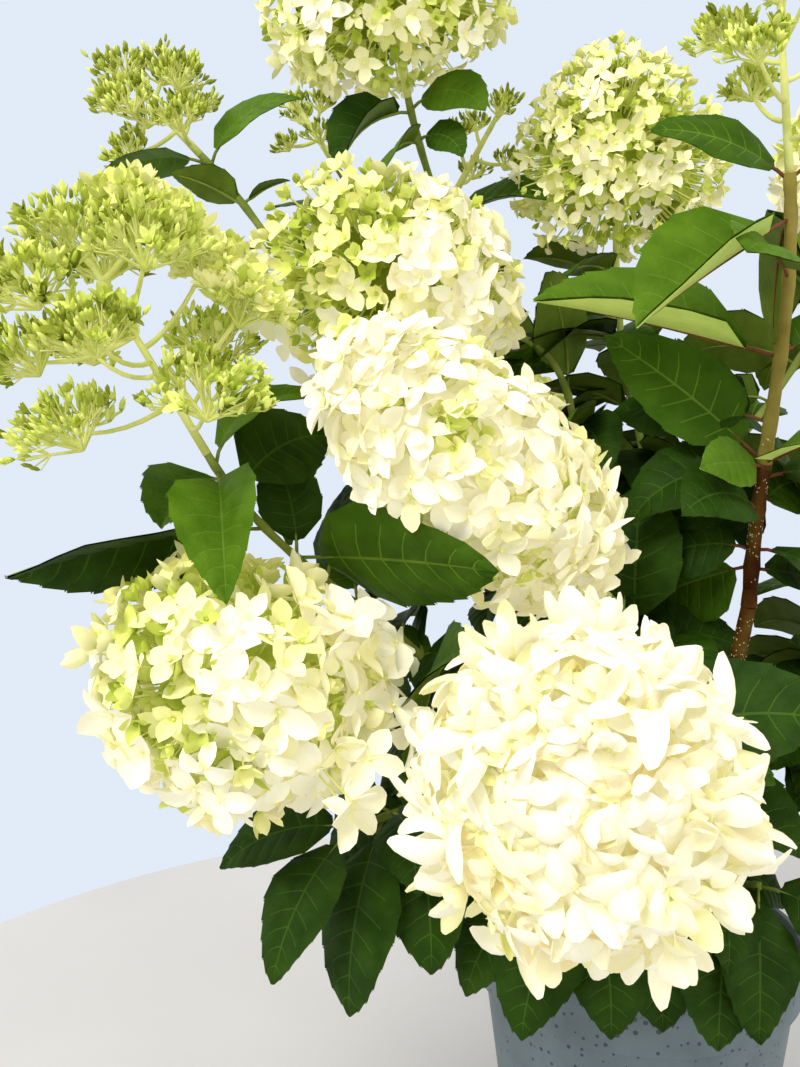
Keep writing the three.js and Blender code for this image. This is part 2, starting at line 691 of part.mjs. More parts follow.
function boughPath(bough) {
  const leaving = leavingOf(bough);
  const from = STOOL_HEART.clone().addScaledVector(leaving, COLLAR_REACH);
  const fork = vector(bough.fork);
  const straight = fork.clone().sub(from).normalize();
  const arriving = straight.addScaledVector(UP, FORK_LIFT).normalize();
  return bend(from, leaving, fork, arriving);
}

// Where a shoot leaves its fork, and the line it follows from there to its flower head
function shootPath(shoot) {
  const fork = vector(BOUGHS[shoot.bough].fork);
  const leaving = vector(shoot.start).normalize();
  const from = fork.clone().addScaledVector(leaving, FORK_REACH);
  const to = vector(shoot.foot);
  const arriving = shoot.tip ? frameOf(shoot).axis : to.clone().sub(from).normalize();
  return bend(from, leaving, to, arriving);
}

function shootRadii(shoot) {
  return shoot.bough === "bough_speckled" ? STOUT_RADII : SHOOT_RADII;
}

// A bough with a short stub towards each shoot that its fork carries
function boughSolid(name, bough) {
  const pieces = [limb(boughPath(bough), ...bough.radii, BOUGH_SIDES, LIMB_STEPS)];
  const fork = vector(bough.fork);
  for (const shoot of [...SHOOTS, ...SKIRTS].filter((each) => each.bough === name)) {
    const leaving = vector(shoot.start).normalize();
    const radius = shootRadii(shoot)[0] + FORK_MARGIN;
    pieces.push(stub(fork, leaving, FORK_REACH - GAP, radius, SHOOT_SIDES));
  }
  return fuse(pieces);
}

// A leaf from its root to a tip: the chord of its arc sets its heading, its first rise and its length
function leafTo(root, tip, droop, roll) {
  const chord = tip.clone().sub(root);
  const half = degToRad(droop) / 2;
  const lift = Math.asin(chord.z / chord.length());
  const heading = Math.atan2(chord.y, chord.x);
  const length = (chord.length() * half) / Math.sin(half);
  return { root, heading, length, droop, rise: lift + half, roll };
}

// A leaf rolls about its midrib until its face leans out of the shrub, towards the light
function leaning(leaf) {
  const { point, side, normal } = midrib({ ...leaf, roll: 0 }, LEAN_SAMPLE);
  const light = vector([point.x, point.y, 0]).normalize().multiplyScalar(LEAN_OUT).add(UP);
  const best = Math.atan2(-light.dot(side), light.dot(normal));
  return { ...leaf, roll: leaf.roll + LEAN * Math.min(Math.max(best, -LEAN_MOST), LEAN_MOST) };
}

// The leaves of a shoot, as its table gives them, with a few degrees of seeded variety
function leavesOf(shoot) {
  const path = shootPath(shoot);
  const roll = dice(3 * shoot.foot[2] + 17);
  const either = (spread) => lerp(-spread, spread, roll());
  const placed = shoot.leaves.map(([share, tip, droop, facing]) => {
    const leaf = leafTo(path.getPointAt(share), vector(tip), droop, degToRad(either(PLACED_ROLL)));
    return facing === undefined ? leaning(leaf) : { ...leaf, roll: degToRad(facing) };
  });
  const paired = shoot.pairs.flatMap(([share, way, length, droop]) => [way, way + 180].map((side) => ({
    root: path.getPointAt(share),
    heading: degToRad(side + either(PAIR_TURN)),
    length: length * lerp(...PAIR_LENGTH, roll()),
    droop,
    rise: degToRad(PAIR_RISE + either(PAIR_RISE_SPREAD)),
    roll: degToRad(either(PAIR_ROLL)),
  })));
  return [...placed, ...paired.map(steered).filter((leaf) => leaf !== null).map(leaning)];
}

// How deep a point lies in a flower head: under 1 is inside its outline
function depthIn(shoot, point) {
  const { foot, axis, length } = frameOf(shoot);
  const half = length / 2;
  const middle = foot.clone().addScaledVector(axis, half);
  const away = point.clone().sub(middle);
  const along = away.dot(axis);
  const off = away.addScaledVector(axis, -along).length();
  return Math.hypot(along / (half + HEAD_MARGIN), off / (shoot.head.radius + HEAD_MARGIN));
}

// A leaf that would run into a flower head bends down further and shortens, or is left out
function steered(leaf) {
  let tried = leaf;
  for (let i = 0; i < STEER_TRIES; i++) {
    const points = STEER_SAMPLES.map((t) => midrib(tried, t).point);
    const isFree = points.every((point) => SHOOTS.every((shoot) => depthIn(shoot, point) > 1));
    if (isFree) return tried;
    tried = { ...tried, droop: tried.droop + STEER_DROOP, length: STEER_LENGTH * tried.length };
  }
  return null;
}

const pot = potSolid();
const mix = mixSolid();
const stool = stoolSolid();
claim("pot", pot);
claim("potting_mix", mix);
claim("stool", stool);
addNode("pot", pot, finish.pot);
addNode("potting_mix", mix, finish.mix);
addNode("stool", stool, finish.bark);

for (const [name, bough] of Object.entries(BOUGHS)) {
  const solid = boughSolid(name, bough);
  claim(name, solid);
  addNode(name, solid, finish.bark);
}

const stems = new Map();
for (const shoot of [...SHOOTS, ...SKIRTS]) {
  const solid = limb(shootPath(shoot), ...shootRadii(shoot), SHOOT_SIDES, LIMB_STEPS);
  stems.set(shoot, solid);
  claim("leaves_" + shoot.name, solid);
}

const heads = new Map();
for (const shoot of SHOOTS) {
  const isBloom = shoot.head.kind === "bloom";
  const name = (isBloom ? "bloom_" : "buds_") + shoot.name;
  const pieces = grow(name, isBloom ? [coreSolid(shoot)] : budPieces(shoot));
  heads.set(shoot, { name, isBloom, pieces });
}

for (const shoot of [...SHOOTS, ...SKIRTS]) {
  const name = "leaves_" + shoot.name;
  const kept = grow(name, leavesOf(shoot).map(leafSolid));
  addNode(name, fuse([stems.get(shoot), ...kept]), finish.leaf);
}

for (const [shoot, { name, isBloom, pieces }] of heads) {
  const florets = isBloom ? grow(name, bloomFlorets(shoot)) : [];
  addNode(name, fuse([...pieces, ...florets]), isBloom ? finish.bloom : finish.bud);
}

export default hydrangea;
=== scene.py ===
# %% [markdown]
# # A potted panicle hydrangea
# The real object is a young shrub in a plastic nursery pot. Woody boughs rise from a low stool, each
# fork carries leafy shoots, and each shoot ends in one flower head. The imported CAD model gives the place
# and size of every part. This lesson dresses it: bark, leaves, petals, buds, pot and potting mix.

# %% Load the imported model
import math

import bpy
import numpy as np
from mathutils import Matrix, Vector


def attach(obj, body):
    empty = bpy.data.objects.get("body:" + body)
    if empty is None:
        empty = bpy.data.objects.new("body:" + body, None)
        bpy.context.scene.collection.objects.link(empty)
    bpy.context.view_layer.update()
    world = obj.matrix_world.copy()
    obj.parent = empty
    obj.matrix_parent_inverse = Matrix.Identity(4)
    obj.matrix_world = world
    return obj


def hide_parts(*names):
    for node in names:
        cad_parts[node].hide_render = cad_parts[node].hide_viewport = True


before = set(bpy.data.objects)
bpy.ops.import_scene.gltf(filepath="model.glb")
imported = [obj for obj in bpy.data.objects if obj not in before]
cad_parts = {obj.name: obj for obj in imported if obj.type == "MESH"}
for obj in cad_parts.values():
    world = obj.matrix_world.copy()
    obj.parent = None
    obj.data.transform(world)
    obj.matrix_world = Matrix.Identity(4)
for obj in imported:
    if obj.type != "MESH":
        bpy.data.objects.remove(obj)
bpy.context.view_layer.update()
bpy.ops.object.select_all(action="DESELECT")
MM = 0.001

# %% [markdown]
# ## The photograph's camera
# The camera stands a little left of the shrub, somewhat above its middle, and tips down by five
# degrees. A long side of 1067 pixels with a focal length of 1100 pixels gives the lens.

# %% Camera
CAMERA_PLACE = (-0.195, -0.875, 0.640)
CAMERA_TILT = 5
FOCAL_PIXELS = 1100
LONG_SIDE_PIXELS = 1067
SENSOR = 36

bpy.ops.object.camera_add(location=CAMERA_PLACE, rotation=(math.radians(90 - CAMERA_TILT), 0, 0))
camera = bpy.context.object
camera.data.sensor_width = SENSOR
camera.data.lens = SENSOR * FOCAL_PIXELS / LONG_SIDE_PIXELS
bpy.context.scene.camera = camera
print("camera at", CAMERA_PLACE, "with a lens of", round(camera.data.lens, 1), "mm")

# %% [markdown]
# ## Floor and daylight
# The floor is a pale round board, and the sky round it is a soft bluish white. A broad
# lamp at the upper left in front gives the soft daylight, and a weaker one from the right opens the
# shadows. The plain view transform keeps the petals as white as they are in the photograph.

# %% Modifiers and shader nodes
def press(piece, kind, **settings):
    """Gives a piece a modifier with its settings, and applies it."""
    modifier = piece.modifiers.new(kind.lower(), kind)
    for setting, value in settings.items():
        setattr(modifier, setting, value)
    bpy.context.view_layer.objects.active = piece
    bpy.ops.object.modifier_apply(modifier=modifier.name)


def add_node(tree, kind, values=None):
    """Adds a shader node and sets its inputs."""
    node = tree.nodes.new("ShaderNode" + kind)
    for socket, value in (values or {}).items():
        node.inputs[socket].default_value = value
    return node


def wire(tree, *pairs):
    """Links outputs of nodes to inputs of others."""
    for output, socket in pairs:
        tree.links.new(output, socket)


# %% Floor
FLOOR_RADIUS, FLOOR_THICKNESS, FLOOR_GAP = 0.9, 0.02, 0.0005
FLOOR_SIDES, FLOOR_EDGE, FLOOR_EDGE_STEPS = 128, 0.004, 3
FLOOR_MIDDLE = (0, 0, -FLOOR_GAP - FLOOR_THICKNESS / 2)
bpy.ops.mesh.primitive_cylinder_add(vertices=FLOOR_SIDES, radius=FLOOR_RADIUS, depth=FLOOR_THICKNESS,
                                    location=FLOOR_MIDDLE)
floor = bpy.context.object
floor.name = "floor"
press(floor, "BEVEL", width=FLOOR_EDGE, segments=FLOOR_EDGE_STEPS)
print("floor", 2 * FLOOR_RADIUS, "m across")

# %% Sky and lamps
SKY_SEEN_COLOUR = (0.76, 0.83, 0.94, 1)
SKY_LIGHT_COLOUR = (1.0, 0.98, 0.95, 1)
SKY_LIGHT = 0.84
LAMPS = {
    "key": {"place": (-1.3, -2.0, 2.6), "aim": (-0.1, -0.1, 0.6), "width": 1.2, "power": 64,
            "colour": (1.0, 0.98, 0.92)},
    "fill": {"place": (2.3, -1.4, 1.6), "aim": (0.0, 0.0, 0.6), "width": 1.6, "power": 16,
             "colour": (1.0, 0.99, 0.96)},
}

world = bpy.data.worlds.new("daylight")
bpy.context.scene.world = world
world.use_nodes = True
sky = world.node_tree
sky_light = sky.nodes["Background"]
sky_light.inputs["Color"].default_value = SKY_LIGHT_COLOUR
sky_light.inputs["Strength"].default_value = SKY_LIGHT
sky_seen = add_node(sky, "Background", {"Color": SKY_SEEN_COLOUR})
ray = add_node(sky, "LightPath")
sky_mix = add_node(sky, "MixShader")
wire(sky, (ray.outputs["Is Camera Ray"], sky_mix.inputs[0]), (sky_light.outputs[0], sky_mix.inputs[1]),
     (sky_seen.outputs[0], sky_mix.inputs[2]),
     (sky_mix.outputs[0], sky.nodes["World Output"].inputs["Surface"]))

for name, look in LAMPS.items():
    bpy.ops.object.light_add(type="AREA", location=look["place"])
    lamp = bpy.context.object
    lamp.name = name
    lamp.data.size = look["width"]
    lamp.data.energy = look["power"]
    lamp.data.color = look["colour"]
    shine = Vector([aim - place for aim, place in zip(look["aim"], look["place"])])
    lamp.rotation_euler = shine.to_track_quat("-Z", "Y").to_euler()
bpy.context.scene.view_settings.view_transform = "Standard"
print("sky and", len(LAMPS), "lamps")

# %% [markdown]
# ## The shrub's rule
# A shrub is grown, not drawn. The same rule that made the CAD solids is written again here: the table of
# boughs, the table of shoots with their heads, and how leaves sit on a shoot. A change to a number moves
# the wood, the leaves and the flowers together.

# %% Sizes of the shrub's wood, in millimetres
UP = np.array([0.0, 0.0, 1.0])
MIX_TOP = 212
STOOL_HEIGHT = 40
STOOL_FOOT_RADIUS = 33
STOOL_HEART = np.array([0.0, 0.0, MIX_TOP + STOOL_HEIGHT / 2])
COLLAR_REACH = 36
FORK_REACH = 13
FORK_LIFT = 0.35
BEND_LEAVING = 0.4
BEND_ARRIVING = 0.35
SHOOT_RADII = (3.4, 2.6)
STOUT_RADII = (5, 3.6)
STALK = 9
GOLDEN_TURN = math.radians(137.508)
print("stool from", MIX_TOP, "to", MIX_TOP + STOOL_HEIGHT, "mm")

# %% Boughs: heading and rise at the stool in degrees, the place of the fork, and the radii
BOUGHS = {
    "bough_front": {"heading": -98, "rise": 48, "fork": [-16, -88, 318], "radii": [6, 4.4]},
    "bough_left": {"heading": -170, "rise": 52, "fork": [-112, -62, 396], "radii": [6, 4.4]},
    "bough_middle": {"heading": -140, "rise": 66, "fork": [-44, -40, 436], "radii": [6, 4.2]},
    "bough_back_left": {"heading": 146, "rise": 62, "fork": [-116, 30, 560], "radii": [6.2, 4.2]},
    "bough_back": {"heading": 100, "rise": 55, "fork": [-24, 112, 424], "radii": [6, 4.2]},
    "bough_back_right": {"heading": 56, "rise": 66, "fork": [20, 50, 570], "radii": [6.2, 4.2]},
    "bough_right": {"heading": 8, "rise": 55, "fork": [118, 6, 404], "radii": [6, 4.4]},
    "bough_speckled": {"heading": -46, "rise": 62, "fork": [50, -110, 522], "radii": [7, 5.4]},
}
print(len(BOUGHS), "boughs")

# %% Shoots: where each leaves its fork, the foot and tip of its flower head, and its leaves
# leaves: share of the shoot's length, the tip's place, how far the leaf bends down, its roll.
# pairs: share, heading, leaf length, bend, for two leaves on opposite sides of the shoot.
SHOOTS = [
    {
        "name": "front_low", "bough": "bough_front",
        "start": [-0.2, -0.5, 0.85], "foot": [-54, -196, 440], "tip": [-134, -366, 452],
        "head": {"kind": "bloom", "radius": 101, "skew": 0.06},
        "leaves": [[0.5, [66, -196, 372], 60], [0.94, [70, -232, 470], 50]],
        "pairs": [[0.2, 205, 112, 70], [0.72, 160, 100, 70]],
    },
    {
        "name": "left_low", "bough": "bough_left",
        "start": [-0.62, -0.7, 0.2], "foot": [-202, -146, 440], "tip": [-380, -222, 522],
        "head": {"kind": "bloom", "radius": 84, "skew": -0.04},
        "leaves": [[0.8, [-156, -222, 512], 60]],
        "pairs": [[0.2, 150, 100, 70], [0.5, 255, 104, 80], [0.86, 115, 98, 70]],
    },
    {
        "name": "left_buds", "bough": "bough_left",
        "start": [-0.55, 0.2, 0.8], "foot": [-319, -165, 629], "tip": [-394, -202, 766],
        "head": {"kind": "buds", "radius": 90, "branches": 13, "size": 23},
        "leaves": [[0.96, [-295, -248, 544], 37, 15], [0.97, [-249, -150, 666], 100, 20],
                   [0.93, [-364, -99, 575], 79, -105], [0.8, [-440, -199, 553], 22, -147],
                   [0.7, [-138, -242, 562], 8, 125], [0.5, [-250, -24, 566], 70],
                   [0.9, [-243, -80, 640], 60, 55], [0.7, [-286, -112, 634], 40],
                   [0.6, [-235, -52, 604], 40]],
        "pairs": [[0.2, 165, 100, 60], [0.36, 80, 108, 60]],
    },
    {
        "name": "middle", "bough": "bough_middle",
        "start": [0.5, -0.6, 0.6], "foot": [-50, -120, 530], "tip": [-238, -222, 700],
        "head": {"kind": "bloom", "radius": 67, "skew": 0.02},
        "leaves": [[0.6, [-16, -60, 606], 70]],
        "pairs": [[0.2, 130, 96, 60], [0.44, 10, 92, 70], [0.86, 75, 96, 60]],
    },
    {
        "name": "upper", "bough": "bough_middle",
        "start": [-0.25, 0.45, 0.85], "foot": [-106, -40, 716], "tip": [-290, -120, 784],
        "head": {"kind": "bloom", "radius": 77, "skew": 0.02},
        "leaves": [[0.5, [-218, -68, 520], 60], [0.78, [-89, -60, 760], 60]],
        "pairs": [[0.14, 120, 100, 60], [0.32, 190, 108, 60], [0.62, 80, 104, 60]],
    },
    {
        "name": "top", "bough": "bough_back_left",
        "start": [0.15, -0.45, 0.9], "foot": [-189, -42, 888], "tip": [-222, -60, 1036],
        "head": {"kind": "bloom", "radius": 90, "skew": 0.28},
        "leaves": [[0.97, [-238, -74, 828], 73, -20], [0.975, [-135, -82, 868], 90],
                   [0.9, [-206, -88, 824], 70], [0.91, [-150, -66, 840], 90]],
        "pairs": [[0.18, 110, 100, 60], [0.4, 185, 106, 60], [0.64, 100, 100, 60]],
    },
    {
        "name": "left_high", "bough": "bough_back_left",
        "start": [-0.75, -0.1, 0.6], "foot": [-346, -20, 853], "tip": [-400, -32, 908],
        "head": {"kind": "buds", "radius": 46, "branches": 9, "size": 14},
        "leaves": [[0.975, [-431, -32, 819], 70, -171], [0.97, [-270, -11, 897], 79, 32],
                   [0.86, [-366, -34, 836], 30], [0.87, [-279, -12, 836], 40], [0.76, [-361, -2, 770], 50],
                   [0.77, [-262, 4, 790], 60], [0.42, [-277, -66, 560], 80]],
        "pairs": [[0.2, 170, 100, 60], [0.58, 100, 96, 60]],
    },
    {
        "name": "small_left", "bough": "bough_back_left",
        "start": [-0.3, 0.75, 0.6], "foot": [-246, 42, 858], "tip": [-282, 42, 913],
        "head": {"kind": "buds", "radius": 30, "branches": 6, "size": 9},
        "pairs": [[0.2, 60, 100, 60], [0.42, 150, 100, 50], [0.64, 70, 96, 50], [0.86, 160, 92, 40]],
    },
    {
        "name": "right_top", "bough": "bough_back_right",
        "start": [-0.25, -0.55, 0.8], "foot": [-22, 20, 774], "tip": [-28, 10, 946],
        "head": {"kind": "bloom", "radius": 82, "skew": 0.3},
        "leaves": [[0.97, [-76, -30, 756], 70], [0.93, [-94, 44, 786], 50], [0.8, [-89, 0, 718], 60, -30]],
        "pairs": [[0.18, 100, 104, 60], [0.42, 190, 104, 60], [0.68, 275, 100, 60]],
    },
    {
        "name": "small_right", "bough": "bough_back_right",
        "start": [-0.85, 0.25, 0.5], "foot": [-153, 32, 832], "tip": [-112, 24, 905],
        "head": {"kind": "buds", "radius": 32, "branches": 6, "size": 9},
        "leaves": [[0.92, [-84, -26, 820], 50]],
        "pairs": [[0.24, 60, 96, 60], [0.52, 120, 92, 50], [0.76, 35, 92, 50]],
    },
    {
        "name": "far_right_top", "bough": "bough_back_right",
        "start": [0.75, 0.3, 0.6], "foot": [190, 92, 800], "tip": [238, 110, 960],
        "head": {"kind": "bloom", "radius": 76, "skew": 0.3},
        "pairs": [[0.16, -30, 104, 60], [0.38, 60, 108, 60], [0.62, -30, 108, 60], [0.9, 55, 100, 60]],
    },
    {
        "name": "right_buds", "bough": "bough_speckled",
        "start": [0, -0.12, 1], "foot": [50, -166, 806], "tip": [30, -188, 938],
        "head": {"kind": "buds", "radius": 54, "branches": 9, "size": 13},
        "leaves": [[0.06, [-7, -37, 515], 10, -117], [0.31, [-5, -177, 621], 19, -61],
                   [0.32, [66, -205, 640], 10, 30], [0.33, [72, -49, 550], 90, -133],
                   [0.32, [-51, -88, 712], 13, -61], [0.42, [-33, -34, 658], 30],
                   [0.58, [-108, -140, 730], 8, -23], [0.59, [126, -110, 706], 40],
                   [0.9, [-54, -210, 705], 8, -14], [0.91, [66, -98, 704], 96],
                   [0.98, [-38, -166, 832], 46, -45], [0.985, [128, -150, 828], 46],
                   [0.05, [112, -110, 532], 30], [0.34, [108, -70, 553], 80], [0.2, [-9, -60, 579], 40]],
        "pairs": [[0.2, 40, 100, 60], [0.76, 60, 96, 60]],
    },
    {
        "name": "right_low", "bough": "bough_right",
        "start": [0.62, -0.72, 0.2], "foot": [192, -98, 500], "tip": [258, -190, 590],
        "head": {"kind": "bloom", "radius": 80, "skew": 0.12},
        "leaves": [[0.8, [118, -60, 440], 60], [0.62, [123, -132, 350], 70], [0.3, [98, -60, 489], 60]],
        "pairs": [[0.2, 60, 104, 70], [0.44, -10, 108, 80], [0.84, 80, 104, 60]],
    },
    {
        "name": "right_side", "bough": "bough_right",
        "start": [0.75, 0.4, 0.5], "foot": [226, 70, 560], "tip": [330, 96, 668],
        "head": {"kind": "bloom", "radius": 78, "skew": 0.14},
        "pairs": [[0.14, 20, 104, 70], [0.38, 110, 110, 70], [0.64, 20, 112, 60], [0.9, 95, 100, 60]],
    },
    {
        "name": "back_middle", "bough": "bough_back",
        "start": [0.1, 0.55, 0.8], "foot": [-82, 196, 560], "tip": [-106, 262, 700],
        "head": {"kind": "bloom", "radius": 80, "skew": 0.18},
        "pairs": [[0.16, 100, 104, 60], [0.4, 180, 110, 60], [0.68, 90, 108, 70], [0.92, 5, 98, 60]],
    },
    {
        "name": "back_upper", "bough": "bough_back",
        "start": [-0.75, 0.15, 0.6], "foot": [-196, 168, 716], "tip": [-222, 214, 858],
        "head": {"kind": "bloom", "radius": 74, "skew": 0.22},
        "pairs": [[0.14, 120, 104, 60], [0.36, 200, 112, 60], [0.62, 105, 106, 70], [0.9, 20, 100, 60]],
    },
    {
        "name": "back_low", "bough": "bough_back",
        "start": [0.6, 0.7, 0.2], "foot": [36, 220, 400], "tip": [66, 340, 446],
        "head": {"kind": "bloom", "radius": 80, "skew": 0.1},
        "pairs": [[0.3, 0, 108, 80], [0.62, 90, 104, 80], [0.88, 0, 100, 70]],
    },
]
print(len(SHOOTS), "flowering shoots")

# %% Skirts: low shoots with no flower, whose leaves hang over the rim
SKIRTS = [
    {
        "name": "skirt_front", "bough": "bough_front",
        "start": [-0.85, -0.45, 0.1], "foot": [-74, -148, 338],
        "leaves": [[0.97, [-116, -192, 249], 60], [0.8, [-59, -196, 252], 90], [0.95, [-150, -160, 262], 80],
                   [0.5, [-22, -182, 249], 90]],
    },
    {
        "name": "skirt_right", "bough": "bough_front",
        "start": [0.85, -0.45, 0.1], "foot": [52, -146, 334],
        "leaves": [[0.7, [12, -192, 242], 90], [0.97, [37, -196, 249], 70], [0.95, [118, -170, 262], 90]],
    },
    {
        "name": "skirt_left", "bough": "bough_left",
        "start": [-0.85, -0.3, -0.35], "foot": [-232, -136, 368],
        "leaves": [[0.97, [-278, -190, 286], 56], [0.76, [-229, -168, 252], 60],
                   [0.55, [-174, -175, 285], 80], [0.95, [-322, -122, 336], 60]],
    },
    {
        "name": "skirt_far_right", "bough": "bough_right",
        "start": [0.65, -0.1, -0.6], "foot": [170, -40, 340],
        "leaves": [[0.95, [196, -110, 262], 80], [0.97, [246, -22, 280], 70], [0.5, [128, -112, 286], 90]],
    },
    {
        "name": "skirt_back", "bough": "bough_back",
        "start": [-0.7, 0.6, -0.3], "foot": [-92, 176, 352],
        "leaves": [[0.97, [-140, 240, 272], 70], [0.95, [-40, 230, 262], 80], [0.6, [-150, 116, 290], 70],
                   [0.8, [-176, 176, 300], 70]],
    },
    {
        "name": "skirt_back_right", "bough": "bough_back",
        "start": [0.85, 0.15, -0.4], "foot": [76, 150, 344],
        "leaves": [[0.97, [96, 216, 262], 70], [0.95, [150, 132, 262], 80], [0.6, [20, 196, 272], 80]],
    },
]
for shoot in SHOOTS + SKIRTS:
    shoot.setdefault("leaves", [])
    shoot.setdefault("pairs", [])
print(len(SKIRTS), "skirts")

# %% Directions and seeded numbers
def dice(seed):
    """A repeatable sequence of numbers from 0 to 1."""
    state = seed
    while True:
        state = state * 16807 % 2147483647
        yield state / 2147483647


def unit(vectors):
    """Vectors of length one, along the last axis of an array."""
    vectors = np.asarray(vectors, float)
    return vectors / np.linalg.norm(vectors, axis=-1, keepdims=True)


def direction(heading, rise):
    """A direction from a heading and a rise in radians."""
    flat = np.cos(rise)
    return np.stack([flat * np.cos(heading), flat * np.sin(heading), np.sin(rise)], axis=-1)


def turned(turns, first, second):
    """Directions at turns in radians, from the first of two cross directions towards the second."""
    return np.cos(turns)[..., None] * first + np.sin(turns)[..., None] * second


def lerp(low, high, share):
    """The value at a share of the way from low to high."""
    return low + (high - low) * share


# %% [markdown]
# ## Limb lines
# A limb leaves one point in a set direction and reaches the next in another, so it is one cubic Bezier.
# Places along it are found by length, because a leaf sits at a share of the shoot's length.

# %% Limb lines
LINE_STEPS = 200


def bend(start, leaving, end, arriving):
    """The four control points of a limb's line."""
    span = np.linalg.norm(end - start)
    after = start + BEND_LEAVING * span * leaving
    before = end - BEND_ARRIVING * span * arriving
    return np.array([start, after, before, end])


def on_curve(line, t):
    """Points of a cubic Bezier at values of t from 0 to 1."""
    t = np.asarray(t, float)[:, None]
    s = 1 - t
    return s**3 * line[0] + 3 * s * s * t * line[1] + 3 * s * t * t * line[2] + t**3 * line[3]


def along(line, shares):
    """Points at shares of a limb's length."""
    t = np.linspace(0, 1, LINE_STEPS + 1)
    steps = np.linalg.norm(np.diff(on_curve(line, t), axis=0), axis=1)
    travelled = np.concatenate([[0], np.cumsum(steps)]) / steps.sum()
    return on_curve(line, np.interp(shares, travelled, t))


# %% The frame of a flower head
NEARLY_UPRIGHT = 0.2


def head_frame(shoot):
    """The foot, axis, two cross directions and length of a flower head."""
    foot = np.array(shoot["foot"], float)
    reach = np.array(shoot["tip"], float) - foot
    axis = unit(reach)
    across = np.array([-axis[1], axis[0], 0])
    if np.linalg.norm(across) < NEARLY_UPRIGHT:
        across = np.array([1.0, 0, 0])
    across = unit(across - across.dot(axis) * axis)
    return {"foot": foot, "axis": axis, "across": across, "third": np.cross(axis, across),
            "length": np.linalg.norm(reach)}


def around(head, distance, radius, turn):
    """Points at distances along a head's axis, radii from it and turns round it."""
    distance, radius, turn = np.broadcast_arrays(distance, radius, turn)
    sideways = turned(turn, head["across"], head["third"])
    return head["foot"] + distance[..., None] * head["axis"] + radius[..., None] * sideways


# %% Lines of boughs and shoots
def leaving_of(bough):
    """The direction in which a bough leaves the stool."""
    return direction(math.radians(bough["heading"]), math.radians(bough["rise"]))


def bough_line(bough):
    """The line of a bough, from the stool to its fork."""
    leaving = leaving_of(bough)
    start = STOOL_HEART + leaving * COLLAR_REACH
    fork = np.array(bough["fork"], float)
    return bend(start, leaving, fork, unit(unit(fork - start) + FORK_LIFT * UP))


def shoot_line(shoot):
    """The line of a shoot, from its fork to its end."""
    fork = np.array(BOUGHS[shoot["bough"]]["fork"], float)
    leaving = unit(shoot["start"])
    start = fork + leaving * FORK_REACH
    foot = np.array(shoot["foot"], float)
    arriving = head_frame(shoot)["axis"] if "tip" in shoot else unit(foot - start)
    return bend(start, leaving, foot, arriving)


print("control points of the front bough:", bough_line(BOUGHS["bough_front"]).round().tolist())

# %% [markdown]
# ## Finishes
# Real petals, leaves and bark are never one flat colour. Each finish here mixes two or three near colours
# by a fine noise on the object's own coordinates, and a second noise gives the surface its grain. Tints
# that belong to a place, such as lime buds beside white petals, are separate finishes, dealt out by how
# ripe a floret is. Leaves take painted light and shade, lit and shaded copies of one finish dealt out by
# how much light a leaf gets, and petals, stalks and some leaf undersides glow with painted light.

# %% How a finish is made
MOTTLE_DETAIL, GRIT_DETAIL = 4, 3
MOTTLE_ENDS = (0.32, 0.68)
BUMP_DEPTH = 0.001
# strength of the painted glow: emission that stands in for light let through petals and leaves
PAINTED_GLOW = 0.10
FINISHES = {}


def finish(name, colours, roughness, grain=60, relief=0.15, relief_grain=400, gloss=0.5, painted_glow=None):
    """Makes a finish: near colours mixed by a noise, a fine bump, and a painted glow, an emission that lifts
    its shade.
    """
    made = bpy.data.materials.new(name)
    made.use_nodes = True
    tree = made.node_tree
    shader = tree.nodes["Principled BSDF"]
    place = add_node(tree, "TexCoord").outputs["Object"]
    mottle = add_node(tree, "TexNoise", {"Scale": grain, "Detail": MOTTLE_DETAIL})
    ramp = add_node(tree, "ValToRGB")
    stops = ramp.color_ramp.elements
    for stop, position, colour in zip(stops, MOTTLE_ENDS, (colours[0], colours[-1])):
        stop.position = position
        stop.color = (*colour, 1)
    if len(colours) == 3:
        stops.new(0.5).color = (*colours[1], 1)
    grit = add_node(tree, "TexNoise", {"Scale": relief_grain, "Detail": GRIT_DETAIL})
    bump = add_node(tree, "Bump", {"Strength": relief, "Distance": BUMP_DEPTH})
    wire(tree, (place, mottle.inputs["Vector"]), (place, grit.inputs["Vector"]),
         (mottle.outputs["Fac"], ramp.inputs["Fac"]), (ramp.outputs["Color"], shader.inputs["Base Color"]),
         (grit.outputs["Fac"], bump.inputs["Height"]), (bump.outputs["Normal"], shader.inputs["Normal"]))
    shader.inputs["Roughness"].default_value = roughness
    shader.inputs["Specular IOR Level"].default_value = gloss
    # painted light: the surface glows though it is no lamp
    if painted_glow:
        shader.inputs["Emission Color"].default_value = (*painted_glow, 1)
        shader.inputs["Emission Strength"].default_value = PAINTED_GLOW
    FINISHES[name] = made


# %% Flecks
FLECK_PATCH = 3


def add_flecks(name, colour, scale, size):
    """Scatters dark flecks over a finish: small spots of a Voronoi pattern that a noise thins out."""
    tree = FINISHES[name].node_tree
    base = tree.nodes["Principled BSDF"].inputs["Base Color"]
    under = base.links[0].from_socket
    place = tree.nodes["Texture Coordinate"].outputs["Object"]
    cells = add_node(tree, "TexVoronoi", {"Scale": scale})
    thin = add_node(tree, "TexNoise", {"Scale": scale / FLECK_PATCH})
    reach = add_node(tree, "Math", {1: size})
    reach.operation = "MULTIPLY"
    near = add_node(tree, "Math")
    near.operation = "LESS_THAN"
    mix = tree.nodes.new("ShaderNodeMix")
    mix.data_type = "RGBA"
    mix.inputs["B"].default_value = (*colour, 1)
    wire(tree, (place, cells.inputs["Vector"]), (place, thin.inputs["Vector"]),
         (thin.outputs["Fac"], reach.inputs[0]), (cells.outputs["Distance"], near.inputs[0]),
         (reach.outputs[0], near.inputs[1]), (near.outputs[0], mix.inputs["Factor"]),
         (under, mix.inputs["A"]), (mix.outputs["Result"], base))


